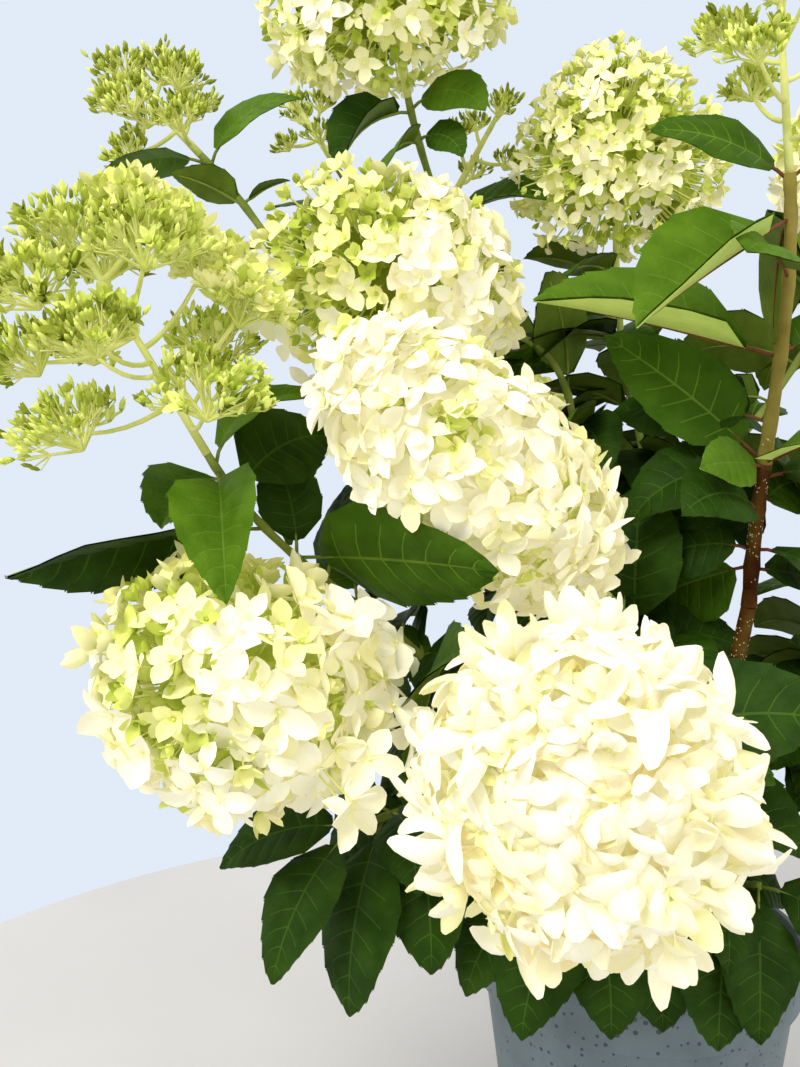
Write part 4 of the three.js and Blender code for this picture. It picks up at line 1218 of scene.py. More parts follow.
def side_leaves(shoot):
    """Smaller leaves of the short side shoots that fill the crown between a shoot's own pairs."""
    rng = np.random.default_rng(int(shoot["foot"][0]) + SIDE_SEED)
    line = shoot_line(shoot)
    leaves = []
    for share in SIDE_SHARES if shoot["bough"] in LEAFY_BOUGHS else []:
        if share > BARE_ABOVE.get(shoot["name"], 1):
            break
        heading = rng.uniform(0, math.pi)
        for turn in (0, math.pi):
            # painted shade: leaves of side shoots sit inside the crown and take the deep finish
            leaf = {**PLAIN_LEAF, "root": along(line, [share])[0], "tint": "deep",
                    "heading": heading + turn + rng.normal(0, SIDE_SPREAD),
                    "length": rng.uniform(*SIDE_LENGTHS),
                    "droop": math.radians(rng.uniform(*SIDE_DROOPS)),
                    "rise": math.radians(rng.uniform(*SIDE_RISES)),
                    "roll": rng.normal(0, SIDE_SPREAD)}
            if is_free(leaf):
                leaves.append(leaning(leaf))
    return leaves


print(sum(len(side_leaves(shoot)) for shoot in SHOOTS + SKIRTS), "leaves on side shoots")

# %% Painted light and shade: how bright a leaf's finish is
TINT_PLACE = 0.8
CROWN_RADIUS, CROWN_MIDDLE = 330, 500
LIGHT_RISE, LIGHT_DEPTH, LIGHT_SPREAD = 900, 1500, 0.22
BRIGHT_ABOVE, MID_ABOVE = 1.0, 0.55


def painted_light_tint(leaf, painted_shade, rng):
    """Paints light and shade: leaves that reach out into the light get a brighter finish than those inside
    the crown.
    """
    x, y, z = midrib(leaf, np.array([TINT_PLACE]))[0][0]
    outward = np.hypot(x, y) / CROWN_RADIUS + (z - CROWN_MIDDLE) / LIGHT_RISE - y / LIGHT_DEPTH
    light = outward - painted_shade + rng.normal(0, LIGHT_SPREAD)
    return "bright" if light > BRIGHT_ABOVE else "mid" if light > MID_ABOVE else "deep"


# %% One leaf
LEAF_FINISHES = ["leaf_painted_shade", "leaf_painted_half_light", "leaf_painted_light", "leaf_back", "vein_painted_shade", "vein_painted_light",
                 "green_twig", "petiole_red", "leaf_back_painted_glow"]
# finishes of a leaf's blade, veins and underside, counted in the list above; deep, mid and bright are painted
# shade and painted light, and lit adds an underside with a painted glow
TINTS = {"deep": (0, 4, 3), "mid": (1, 5, 3), "bright": (2, 5, 3), "lit": (2, 5, 8)}
LEAF_THICKNESS = 0.006
PETIOLE_RADIUS = 1.4
RIB_SHARES = np.linspace(0, 0.9, 9)
RIB_NARROWING, RIB_SUNK, RIB_SIDES = 0.3, 0.9, 5


def add_leaf(bundle, leaf, tint, petiole):
    """Adds a veined blade, its paler underside and the rib with its petiole."""
    blade, vein, under = TINTS[tint]
    front = blade_corners(leaf, FRONT_ACROSS, FRONT_VEIN, FRONT_ROW, 0)
    bundle.add(front, FRONT_FACES, np.where(FRONT_IS_VEIN, vein, blade))
    back = blade_corners(leaf, BACK_ACROSS, BACK_VEIN, np.zeros(len(BACK_VEIN)), LEAF_THICKNESS)
    bundle.add(back, BACK_FACES[:, ::-1], under)
    points, _, normal = midrib(leaf, RIB_SHARES)
    radii = PETIOLE_RADIUS * lerp(1, RIB_NARROWING, RIB_SHARES)
    sunk = np.where(RIB_SHARES > PETIOLE_SHARE, radii * RIB_SUNK, 0)[:, None]
    add_tube(bundle, points - sunk * normal, radii, RIB_SIDES, petiole)


# %% Leaves of every shoot
PETIOLE_OF = {"bough_speckled": "petiole_red"}
# painted shade: the skirt leaves under the crown get darker finishes
SKIRT_PAINTED_SHADE = 0.5
FOLDS, ARCHES = (0.12, 0.34), (0.05, 0.24)
WAVES, PHASES = (0.004, 0.014), (0, 6.28)
leaf_count = leaf_triangles = 0
for shoot in SHOOTS + SKIRTS:
    rng = np.random.default_rng(int(shoot["foot"][2]))
    bundle = Bundle("foliage_" + shoot["name"], LEAF_FINISHES)
    petiole = LEAF_FINISHES.index(PETIOLE_OF.get(shoot["bough"], "green_twig"))
    painted_shade = SKIRT_PAINTED_SHADE if shoot in SKIRTS else 0
    for leaf in leaves_of(shoot) + side_leaves(shoot):
        leaf["fold"] = leaf["fold"] or rng.uniform(*FOLDS)
        leaf["arch"] = rng.uniform(*ARCHES)
        leaf["wave"] = rng.uniform(*WAVES)
        leaf["phase"] = rng.uniform(*PHASES)
        add_leaf(bundle, leaf, leaf["tint"] or painted_light_tint(leaf, painted_shade, rng), petiole)
        leaf_count += 1
    leaf_triangles += bundle.make(["leaves_" + shoot["name"]])
print(leaf_count, "leaves,", leaf_triangles, "triangles")

# %% [markdown]
# ## Petals
# A floret has four petals round a small bead. A young one is lime green and cupped, a ripe one is white
# and flat or bent back. One number, the ripeness, sets the size, the lift, the curl and the tint of each
# floret, so a head can run from green buds on one side to white on the other, as the real ones do.

# %% The petal
PETAL_PLACES = np.array([0, 0.16, 0.38, 0.62, 0.84, 1])


def petal_grid(columns, places):
    """A flat petal: place across and along each corner, its faces, and which are at the foot."""
    column, row, faces = unit_grid(len(columns) - 1, len(places) - 1)
    return {"across": np.array(columns)[column], "along": np.array(places)[row], "faces": faces,
            "foot": row[faces].min(axis=1) == 0}


FINE_PETAL = petal_grid([-1, -0.45, 0, 0.45, 1], PETAL_PLACES)
LONG_PETAL = petal_grid([-1, -0.5, 0, 0.5, 1], [0, 0.14, 0.30, 0.46, 0.62, 0.78, 0.91, 1])
PLAIN_PETAL = petal_grid([-1, 0, 1], [0, 0.25, 0.55, 0.8, 1])
print(len(FINE_PETAL["faces"]), "faces on a fine petal,", len(PLAIN_PETAL["faces"]), "on a plain one")

# %% How petals vary, and the finishes of a head from green to white
PETAL_HALVES = {
    "oval": np.array([0.07, 0.20, 0.31, 0.32, 0.20, 0.02]),
    "broad": np.array([0.07, 0.24, 0.38, 0.38, 0.24, 0.03]),
    "long": np.array([0.06, 0.12, 0.18, 0.205, 0.18, 0.06]),
    "narrow": np.array([0.07, 0.16, 0.22, 0.22, 0.15, 0.04]),
}
PETAL_CUPS = {"oval": (-0.05, 0.5), "broad": (0.0, 0.4), "long": (0.3, 1.0), "narrow": (0.3, 0.8)}
PETAL_TWISTS = {"oval": 0.3, "broad": 0.3, "long": 0.2, "narrow": 0.2}
PETAL_SICKLES = {"oval": 0.06, "broad": 0.04, "long": 0.15, "narrow": 0.05}
PETAL_GROOVE = 0.14
PETAL_LENGTHS, PETAL_WIDTHS = (0.86, 1.12), (0.86, 1.14)
SPIN_SPREAD, LIFT_SPREAD, CURL_SPREAD = 0.09, 0.14, 0.28
LEAST_CURL = 0.05
HEAD_FINISHES = ["petal_green", "petal_lime", "petal_cream", "petal_ivory", "petal_white", "petal_shade",
                 "petal_olive_painted_shade", "pale_stalk"]
RIPENING_FINISHES = 5
OLIVE_SLOT = HEAD_FINISHES.index("petal_olive_painted_shade")
STALK_SLOT = HEAD_FINISHES.index("pale_stalk")
FLORET_TURNS = np.arange(4) * math.pi / 2
print(len(PETAL_HALVES), "kinds of petal in", len(HEAD_FINISHES) - 1, "finishes")

# %% Florets
def add_florets(bundle, centres, normals, lengths, lifts, curls, tints, kind, rng, grid=PLAIN_PETAL):
    """Adds four-petalled florets; lifts and curls are in radians, tints count from green to white."""
    count = len(centres)
    if count == 0:
        return
    across, place = grid["across"], grid["along"]
    first, second = cross_directions(normals)
    petals = (count, 4)
    spins = rng.uniform(0, math.pi, count)[:, None] + FLORET_TURNS + rng.normal(0, SPIN_SPREAD, petals)
    length = (lengths[:, None] * rng.uniform(*PETAL_LENGTHS, petals))[..., None]
    lift = (lifts[:, None] + rng.normal(0, LIFT_SPREAD, petals))[..., None]
    curl = curls[:, None] + rng.normal(0, CURL_SPREAD, petals)
    curl = np.where(np.abs(curl) < LEAST_CURL, LEAST_CURL, curl)[..., None]
    bent = lift + curl * place
    out = length * (np.sin(bent) - np.sin(lift)) / curl
    up = length * (np.cos(lift) - np.cos(bent)) / curl
    widths = np.interp(place, PETAL_PLACES, PETAL_HALVES[kind])
    widths = widths * rng.uniform(*PETAL_WIDTHS, petals)[..., None]
    cup = rng.uniform(*PETAL_CUPS[kind], petals)[..., None] * (np.sign(curl) if kind == "long" else 1)
    twist = rng.normal(0, PETAL_TWISTS[kind], petals)[..., None] * place
    sickle = rng.normal(0, PETAL_SICKLES[kind], petals)[..., None] * place**2
    aside = length * widths * across
    raised = length * widths * (cup * across**2 - PETAL_GROOVE * (1 - np.abs(across)))
    sideways = aside * np.cos(twist) - raised * np.sin(twist) + sickle * length
    raised = aside * np.sin(twist) + raised * np.cos(twist)
    out = out - raised * np.sin(bent)
    up = up + raised * np.cos(bent)
    outward = turned(spins, first[:, None], second[:, None])[:, :, None]
    tangent = turned(spins, second[:, None], -first[:, None])[:, :, None]
    corners = (centres[:, None, None] + out[..., None] * outward + sideways[..., None] * tangent
               + up[..., None] * unit(normals)[:, None, None])
    tint = np.repeat(tints, 4)[:, None]
    slots = np.where(grid["foot"] & (tint < RIPENING_FINISHES), np.maximum(tint - 1, 0), tint)
    bundle.add_copies(corners.reshape(count * 4, len(place), 3), grid["faces"], slots)


# %% [markdown]
# ## Flower heads
# The rule sets the florets of a head on a golden-angle spiral over an egg. Here the same egg takes many
# more florets, in an outer and an inner layer round a shaded middle. Each outer floret has a thin stalk.

# %% How each head looks
# florets, petal kind and length; ripe: mean ripeness, its slope across the head, the way it ripens;
# curls: of a ripe and of a young petal in degrees; seat: where florets sit, as a share of the CAD's egg;
# inner: tints of the inner layer, the first also of the middle, whose olive and shade tints are painted
# shade; young: share of florets that lag behind; fine: more points on a petal.
PLAIN_LOOK = {"florets": 300, "petal": "oval", "length": 23, "ripe": (0.80, 0.20, (0, 0, -1)),
              "curls": (-30, 30), "seat": 0.95, "inner": (0, 1), "young": 0.2, "fine": False}
HIGH_LOOK = {"florets": 430, "curls": (-15, 30), "seat": 0.97, "inner": (6, 0, 0), "young": 0.35}
LOOKS = {
    "front_low": {"florets": 430, "petal": "long", "length": 37, "ripe": (0.90, 0.08, (0.8, -0.2, 0.3)),
                  "seat": 0.85, "inner": (5, 5, 3), "young": 0.02, "fine": True},
    "left_low": {"florets": 290, "length": 24, "ripe": (0.74, 0.24, (0.55, -0.5, -0.75)),
                 "seat": 0.93, "inner": (1, 0, 1), "young": 0.3, "fine": True},
    "middle": {"florets": 400, "length": 21, "ripe": (0.98, 0.12, (0.6, -0.5, -0.6)),
               "curls": (-35, 30), "seat": 0.93, "inner": (1, 2), "young": 0.16, "fine": True},
    "upper": {"florets": 400, "length": 19, "ripe": (0.58, 0.38, (0.85, -0.45, -0.3)),
              "curls": (-25, 30), "inner": (6, 0, 0, 1), "young": 0.32, "fine": True},
    "top": {**HIGH_LOOK, "length": 17, "ripe": (0.58, 0.16, (0.3, -0.4, -0.6))},
    "right_top": {**HIGH_LOOK, "length": 16, "ripe": (0.54, 0.18, (-0.3, -0.4, -0.6))},
}
print(len(LOOKS), "heads with a look of their own")

# %% The shaded middle of a head
DEPTH_SHARE = 0.5
bpy.ops.mesh.primitive_ico_sphere_add(subdivisions=3, radius=1)
EGG_CORNERS, EGG_FACES = unit_shape(bpy.context.object)
print(len(EGG_FACES), "faces on the shaded middle of a head")


def add_depth(bundle, shoot, head, slot):
    """Adds the shaded middle of a head, an egg that the stalks stand on."""
    body = head["length"] - STALK
    across, third, high = EGG_CORNERS.T
    radius = DEPTH_SHARE * shoot["head"]["radius"] * (1 - shoot["head"]["skew"] * high)
    distance = STALK + body * (0.5 + 0.5 * DEPTH_SHARE * high)
    corners = (head["foot"] + distance[:, None] * head["axis"] + (radius * across)[:, None] * head["across"]
               + (radius * third)[:, None] * head["third"])
    # painted shade: the egg takes the first tint of the inner layer, a darker finish that stands for the
    # shade deep inside the head
    bundle.add(corners, EGG_FACES, slot)


# %% Leaf blades that lie over a head
SEEN_BLADES = [leaf for shoot in SHOOTS for leaf in leaves_of(shoot) if leaf["tint"]]
BLADE_SAMPLES = np.linspace(0.2, 0.96, 9)
BLADE_MARGIN, BLADE_CLEARANCE = 7, 15


def off_leaves(places):
    """Tells which places stay clear of the blades that lie over a head."""
    clear = np.ones(len(places), bool)
    step = BLADE_SAMPLES[1] - BLADE_SAMPLES[0]
    along_blade = (BLADE_SAMPLES - PETIOLE_SHARE) / (1 - PETIOLE_SHARE)
    for leaf in SEEN_BLADES:
        points, side, normal = midrib(leaf, BLADE_SAMPLES)
        away = places[:, None] - points
        nearest = np.linalg.norm(away, axis=2).argmin(axis=1)
        off = away[np.arange(len(places)), nearest]
        aside = np.abs(np.einsum("nx,nx->n", off, side[nearest]))
        above = np.abs(np.einsum("nx,nx->n", off, normal[nearest]))
        beyond = np.sqrt(np.clip((off**2).sum(axis=1) - aside**2 - above**2, 0, None))
        half = blade_half(leaf, along_blade)[nearest]
        clear &= (aside > half + BLADE_MARGIN) | (above > BLADE_CLEARANCE) | (beyond > step * leaf["length"])
    return clear


print(len(SEEN_BLADES), "blades that florets stay clear of")

# %% Florets of their own place, that hang below or beside a head
STRAYS = {
    "front_low": [(-79, -258, 346), (-100, -266, 352), (-124, -278, 360)],
    "left_low": [(-224, -236, 424), (-211, -170, 523), (-192, -182, 500), (-200, -196, 472),
                 (-188, -176, 448), (-226, -206, 530), (-214, -222, 446), (-300, -246, 428),
                 (-220, -190, 520), (-198, -184, 510), (-226, -196, 502), (-204, -190, 489),
                 (-232, -204, 479), (-189, -176, 522), (-225, -236, 416)],
    "upper": [(-272, -100, 704), (-256, -106, 676), (-238, -112, 682), (-290, -92, 726), (-222, -120, 700)],
}
STRAY_RIPENESS = 0.95
STRAY_FACING = np.array([0, -1.0, 0.4])
STRAY_STALK = 0.45
print(sum(len(places) for places in STRAYS.values()), "florets of their own place")

# %% Where florets sit
SUNKEN_SHARE, SUNKEN_CURVE = 0.24, 1.8
HEART_HEIGHT, HEART_RADIUS = 0.24, 0.42


def spiral(shoot, head, count, share):
    """Places of florets on a golden-angle spiral over the head's egg, and what they point away from."""
    number = np.arange(count)
    angle = np.arccos(1 - 2 * (number + 0.5) / count)
    turn = number * GOLDEN_TURN
    body = head["length"] - STALK
    egg = shoot["head"]["radius"] * np.sin(angle) * (1 + shoot["head"]["skew"] * np.cos(angle))
    centres = around(head, STALK + body * (0.5 - 0.5 * share * np.cos(angle)), share * egg, turn)
    hearts = around(head, STALK + body * (0.5 - HEART_HEIGHT * np.cos(angle)), HEART_RADIUS * egg, turn)
    return centres, hearts


def floret_places(shoot, head, look, rng):
    """Centres of florets, what they point away from, how deep they are sunk, and which are strays."""
    strays = np.array(STRAYS.get(shoot["name"], []), float).reshape(-1, 3)
    own = look["florets"]
    sunken = SUNKEN_SHARE * rng.random(own + len(strays)) ** SUNKEN_CURVE
    sunken[own:] = 0
    centres, hearts = spiral(shoot, head, own, look["seat"] - sunken[:own])
    middle = head["foot"] + 0.5 * head["length"] * head["axis"]
    centres = np.concatenate([centres, strays])
    hearts = np.concatenate([hearts, lerp(middle, strays, STRAY_STALK)])
    kept = off_leaves(centres)
    stray = np.arange(len(kept))[kept] >= own
    return centres[kept], hearts[kept], sunken[kept], stray


# %% How ripe florets are
YOUNG_STEP = 0.42
SUNKEN_GREEN = 0.8
RIPE_SPREAD, RIPE_LIMITS = 0.08, (0.02, 1)
TINT_STEPS, TINT_SPREAD = 5.2, 0.35


def ripeness_of(look, outward, sunken, stray, rng):
    """The ripeness of each floret: it grows towards one side of a head, and some florets lag behind."""
    mean, slope, way = look["ripe"]
    ripeness = mean + slope * (outward @ unit(way)) + rng.normal(0, RIPE_SPREAD, len(outward))
    ripeness = ripeness - SUNKEN_GREEN * sunken
    lagging = rng.random(len(outward)) < look["young"]
    ripeness = np.clip(ripeness - YOUNG_STEP * lagging, *RIPE_LIMITS)
    ripeness[stray] = STRAY_RIPENESS
    return ripeness


def tints_of(ripeness, rng):
    """The finish of each floret, from green to white."""
    steps = ripeness * TINT_STEPS + rng.normal(0, TINT_SPREAD, len(ripeness))
    return np.clip(np.floor(steps), 0, RIPENING_FINISHES - 1).astype(int)


# %% How ripeness bends petals
# pairs of numbers are those of a young and of a ripe floret, or the lowest and the highest
RIPE_LIFTS, RIPE_LENGTHS = (60, 10), (0.42, 1.0)
FLORET_SIZES, FLORET_LIFT_SPREAD, FLORET_CURL_SPREAD = (0.88, 1.14), 9, 22
# lowest and highest lift and curl, in degrees, of long petals that bend inwards and that bend back
INCURVED_SHARE = 0.2
INCURVED = ((-10, 80), (20, 150))
RECURVED = ((20, -160), (58, -75))


def petal_bends(look, ripeness, rng):
    """Petal length, lift and curl of each floret, the last two in radians."""
    count = len(ripeness)
    lengths = look["length"] * lerp(*RIPE_LENGTHS, ripeness) * rng.uniform(*FLORET_SIZES, count)
    lifts = np.radians(lerp(*RIPE_LIFTS, ripeness) + rng.normal(0, FLORET_LIFT_SPREAD, count))
    ripe_curl, young_curl = look["curls"]
    curls = np.radians(lerp(young_curl, ripe_curl, ripeness) + rng.normal(0, FLORET_CURL_SPREAD, count))
    if look["petal"] == "long":
        incurved = (rng.random(count) < INCURVED_SHARE)[:, None]
        bends = np.where(incurved, rng.uniform(*INCURVED, (count, 2)), rng.uniform(*RECURVED, (count, 2)))
        lifts, curls = np.radians(bends).T
    return lengths, lifts, curls


# %% The inner layer of a head
INNER_COUNT = 0.55
INNER_SHARES, INNER_SIZES = (0.58, 0.76), (0.45, 0.7)
INNER_LIFTS, INNER_CURLS, INNER_SPREAD = (15, 55), (-20, 40), 0.3


def add_inner(bundle, shoot, head, look, count, rng):
    """Adds the inner layer of a head: small half-open florets that close the gaps."""
    centres, hearts = spiral(shoot, head, count, rng.uniform(*INNER_SHARES, count))
    normals = unit(unit(centres - hearts) + rng.normal(0, INNER_SPREAD, (count, 3)))
    # painted shade: the olive and shade tints darken the inner layer
    tints = rng.choice(look["inner"], count)
    lengths = look["length"] * rng.uniform(*INNER_SIZES, count)
    lifts = np.radians(rng.uniform(*INNER_LIFTS, count))
    curls = np.radians(rng.uniform(*INNER_CURLS, count))
    add_florets(bundle, centres, normals, lengths, lifts, curls, tints, "broad", rng)


# %% Open heads
NORMAL_SPREAD = {"oval": 0.28, "long": 0.36}
EYE_WIDTHS, EYE_HEIGHT = (1.8, 2.6), 0.3
FLORET_STALK = (1.0, 0.6)
MAIN_STALK, MAIN_STALK_SHARE, MAIN_STALK_SIDES = (2.8, 2.4), 0.3, 8


def make_bloom(shoot):
    """Makes one open flower head."""
    head = head_frame(shoot)
    look = {**PLAIN_LOOK, **LOOKS.get(shoot["name"], {})}
    kind = look["petal"]
    grid = LONG_PETAL if kind == "long" else FINE_PETAL if look["fine"] else PLAIN_PETAL
    rng = np.random.default_rng(int(7 * shoot["foot"][2] + 11))
    bundle = Bundle("florets_" + shoot["name"], HEAD_FINISHES)
    centres, hearts, sunken, stray = floret_places(shoot, head, look, rng)
    count = len(centres)
    outward = unit(centres - hearts)
    outward[stray] = unit(outward[stray] + STRAY_FACING)
    normals = unit(outward + rng.normal(0, NORMAL_SPREAD[kind], (count, 3)))
    ripeness = ripeness_of(look, outward, sunken, stray, rng)
    lengths, lifts, curls = petal_bends(look, ripeness, rng)
    tints = tints_of(ripeness, rng)
    add_florets(bundle, centres, normals, lengths, lifts, curls, tints, kind, rng, grid)
    eyes = centres + EYE_HEIGHT * normals
    add_beads(bundle, eyes, normals, rng.uniform(*EYE_WIDTHS, count), np.maximum(tints - 1, 0))
    add_twigs(bundle, hearts, centres, *FLORET_STALK, STALK_SLOT)
    add_inner(bundle, shoot, head, look, int(INNER_COUNT * count), rng)
    add_depth(bundle, shoot, head, look["inner"][0])
    body = head["length"] - STALK
    stalk = around(head, np.array([CAP_GAP, STALK + MAIN_STALK_SHARE * body]), 0, 0)
    add_tube(bundle, stalk, MAIN_STALK, MAIN_STALK_SIDES, STALK_SLOT)
    return bundle.make(["bloom_" + shoot["name"]])


bloom_triangles = sum(make_bloom(shoot) for shoot in SHOOTS if shoot["head"]["kind"] == "bloom")
print("open heads:", bloom_triangles, "triangles")

# %% [markdown]
# ## Heads in bud
# A young head is a stalk with side branches in a spiral. Each branch splits into a dome of thin stalks
# that end in green beads or in small cupped florets with narrow petals.

# %% Side branches of a head in bud
BUD_FOOT, BUD_TOP = 0.1, 0.86
BUD_NARROWING = 0.42
BUD_SPREAD = (0.8, 1.1)
BUD_CLIMB = (0.096, 0.224)
BUD_SIZE = (0.85, 1.15)
TOP_BUD_SPREAD = 3


def bud_branches(shoot, head):
    """Foot, end and bunch size of each side branch, as the source's rule gives them."""
    roll = dice(5 * shoot["foot"][2] + 3)
    branches = shoot["head"]["branches"]
    for number in range(branches):
        share = (number + 0.5) / branches
        distance = head["length"] * lerp(BUD_FOOT, BUD_TOP, share)
        spread = shoot["head"]["radius"] * lerp(1, BUD_NARROWING, share) * lerp(*BUD_SPREAD, next(roll))
        climb = head["length"] * lerp(*BUD_CLIMB, next(roll))
        if number == branches - 1:
            spread = TOP_BUD_SPREAD
        turn = number * GOLDEN_TURN
        size = shoot["head"]["size"] * lerp(*BUD_SIZE, next(roll))
        yield around(head, distance, 0, 0), around(head, distance + climb, spread, turn), size


print(sum(shoot["head"].get("branches", 0) for shoot in SHOOTS), "side branches")

# %% How each bunch of buds looks
# tufts in a bunch and buds in a tuft; opening: share of open buds; petal and bead: their sizes;
# reach: height of a bunch against its CAD size; olive: share of olive buds.
SMALL_BUDS = {"tufts": 8, "buds": 5, "opening": 0.1, "petal": 5, "bead": 2.5, "reach": 1.3, "olive": 0.6}
BUD_LOOKS = {
    "left_buds": {"tufts": 17, "buds": 8, "opening": 0.42, "petal": 10, "bead": 3.2, "reach": 1.45,
                  "olive": 0.2},
    "left_high": {"tufts": 12, "buds": 7, "opening": 0.1, "petal": 6, "bead": 2.9, "reach": 1.35,
                  "olive": 0.55},
    "small_left": SMALL_BUDS,
    "small_right": SMALL_BUDS,
    "right_buds": {"tufts": 13, "buds": 7, "opening": 0.5, "petal": 8, "bead": 2.9, "reach": 1.45,
                   "olive": 0.2},
}

# %% One bunch of buds
BUNCH_LEAN, BUNCH_TILT, BUNCH_ROOT = 0.55, 64, 0.55
TUFT_SWAY, TUFT_HEIGHTS, TUFT_FORK, TUFT_SPREAD = 0.08, (0.8, 1.05), 0.6, 0.17
TUFT_STALK, TUFT_STALK_SIDES, BUD_TWIG = (1.2, 0.8), 4, (0.7, 0.5)
BUD_UPRIGHT, BUD_SWAY, BUD_STRETCH = 0.8, 0.22, 2.3
BUD_WIDTHS, OPENING_SIZES = (0.75, 1.15), (0.65, 1.2)
LIME_SHARE, CREAM_GAIN = 0.5, 1.6
OPEN_GROWTH, OPEN_LIFT = 0.7, 40
OPENING_LIFTS, OPENING_CURLS = (48, 76), (-30, 25)


def add_bunch(bundle, foot, end, size, look, open_share, rng):
    """Adds a flat-topped bunch: stalks rise from one point, and each carries a tuft of upright buds."""
    axis = unit(BUNCH_LEAN * unit(end - foot) + UP)
    number = np.arange(look["tufts"])
    tilt = np.sqrt((number + 0.5) / look["tufts"]) * math.radians(BUNCH_TILT)
    sideways = turned(number * GOLDEN_TURN, *cross_directions(axis))
    ways = unit(turned(tilt, axis, sideways) + rng.normal(0, TUFT_SWAY, (len(tilt), 3)))
    root = end - BUNCH_ROOT * size * axis
    tops = root + (look["reach"] * size * rng.uniform(*TUFT_HEIGHTS, len(ways)))[:, None] * ways
    forks = root + TUFT_FORK * (tops - root)
    roots = np.broadcast_to(root, forks.shape)
    add_twigs(bundle, roots, forks, *TUFT_STALK, STALK_SLOT, TUFT_STALK_SIDES)
    count = look["tufts"] * look["buds"]
    forks = np.repeat(forks, look["buds"], axis=0)
    spread = rng.normal(0, TUFT_SPREAD * size, (count, 3))
    places = np.repeat(tops, look["buds"], axis=0) + spread
    upright = unit(ways + BUD_UPRIGHT * axis)
    facing = unit(np.repeat(upright, look["buds"], axis=0) + rng.normal(0, BUD_SWAY, (count, 3)))
    add_twigs(bundle, forks, places, *BUD_TWIG, STALK_SLOT)
    opened = rng.random(count) < look["opening"] + open_share
    lime = rng.random(count) < LIME_SHARE + open_share
    cream = rng.random(count) < CREAM_GAIN * open_share
    olive = rng.random(count) < look["olive"] - open_share
    tints = np.where(olive, OLIVE_SLOT, lime.astype(int) + cream)
    widths = look["bead"] * rng.uniform(*BUD_WIDTHS, count)
    add_beads(bundle, places, facing, widths, tints, BUD_STRETCH)
    ups = opened.sum()
    lengths = look["petal"] * (1 + OPEN_GROWTH * open_share) * rng.uniform(*OPENING_SIZES, ups)
    lifts = np.radians(rng.uniform(*OPENING_LIFTS, ups) - OPEN_LIFT * open_share)
    curls = np.radians(rng.uniform(*OPENING_CURLS, ups))
    kind = "oval" if open_share > 0 else "narrow"
    add_florets(bundle, places[opened], facing[opened], lengths, lifts, curls, tints[opened], kind, rng)


# %% Heads in bud
# the side of a head towards the light, where more of its buds are open
OPEN_SIDE, OPEN_BEYOND = {"left_buds": 0.35}, 25
BUD_STALK, BUD_STALK_RADII, BUD_STALK_RINGS, BUD_STALK_SIDES = 0.9, (3.0, 1.7), 8, 8
BRANCH_RADII, BRANCH_RINGS, BRANCH_SIDES, BRANCH_SAG = (1.9, 1.3), 7, 6, 0.10


def make_buds(shoot):
    """Makes one head in bud."""
    head = head_frame(shoot)
    rng = np.random.default_rng(int(5 * shoot["foot"][2] + 3))
    bundle = Bundle("budding_" + shoot["name"], HEAD_FINISHES)
    stalk = around(head, np.linspace(CAP_GAP, BUD_STALK * head["length"], BUD_STALK_RINGS), 0, 0)
    add_tube(bundle, stalk, np.linspace(*BUD_STALK_RADII, BUD_STALK_RINGS), BUD_STALK_SIDES, STALK_SLOT)
    for foot, end, size in bud_branches(shoot, head):
        share = np.linspace(0, 1, BRANCH_RINGS)[:, None]
        sag = 4 * share * (1 - share) * BRANCH_SAG * np.linalg.norm(end - foot)
        branch = foot + (end - foot) * share - sag * UP
        add_tube(bundle, branch, np.linspace(*BRANCH_RADII, BRANCH_RINGS), BRANCH_SIDES, STALK_SLOT)
        open_share = OPEN_SIDE.get(shoot["name"], 0) if end[0] > foot[0] + OPEN_BEYOND else 0
        add_bunch(bundle, foot, end, size, BUD_LOOKS[shoot["name"]], open_share, rng)
    return bundle.make(["buds_" + shoot["name"]])


bud_triangles = sum(make_buds(shoot) for shoot in SHOOTS if shoot["head"]["kind"] == "buds")
print("heads in bud:", bud_triangles, "triangles")

# %% [markdown]
# ## Pot
# The pot is a thin blow-moulded shell with a straight taper, a deep rolled band under its lip and six
# drain holes. The CAD node has thirty flat sides. Here a disc with many sides is extruded step by step, up
# the outside, over the lip and down the inside, which gives a round wall of the same sizes.

# %% Sizes of the pot
POT_HEIGHT = 240
POT_SIDES = 144
BASE_RADIUS, BODY_TOP_RADIUS, RIM_RADIUS = 98, 129.5, 132
RIM_BAND, WALL, POT_FLOOR = 40, 3.2, 4


def wall_radius(z):
    """The outer radius of the pot's body at a height."""
    return lerp(BASE_RADIUS, BODY_TOP_RADIUS, z / POT_HEIGHT)


print("pot", 2 * RIM_RADIUS, "mm across and", POT_HEIGHT, "mm high")

# %% Extruding a disc into a round body
def raise_disc(name, profile):
    """Extrudes a disc step by step along a profile of radius and height, into a closed body."""
    (radius, height), *steps = profile
    bpy.ops.mesh.primitive_circle_add(vertices=POT_SIDES, radius=radius * MM, fill_type="NGON",
                                      location=(0, 0, height * MM))
    piece = bpy.context.object
    piece.name = name
    bpy.ops.object.mode_set(mode="EDIT")
    for next_radius, next_height in steps:
        rise = (0, 0, (next_height - height) * MM)
        bpy.ops.mesh.extrude_region_move(TRANSFORM_OT_translate={"value": rise})
        scale = next_radius / radius
        bpy.ops.transform.resize(value=(scale, scale, 1))
        radius, height = next_radius, next_height
    bpy.ops.mesh.select_all(action="SELECT")
    bpy.ops.mesh.normals_make_consistent(inside=False)
    bpy.ops.object.mode_set(mode="OBJECT")
    return piece


# %% Pot
DRAIN_HOLES, DRAIN_SIDES, DRAIN_RADIUS, DRAIN_RING, DRAIN_CUT = 6, 32, 7, 68, 40
SMOOTH_ANGLE = 35
BAND_FOOT = POT_HEIGHT - RIM_BAND
INNER_TOP = wall_radius(POT_HEIGHT) - WALL
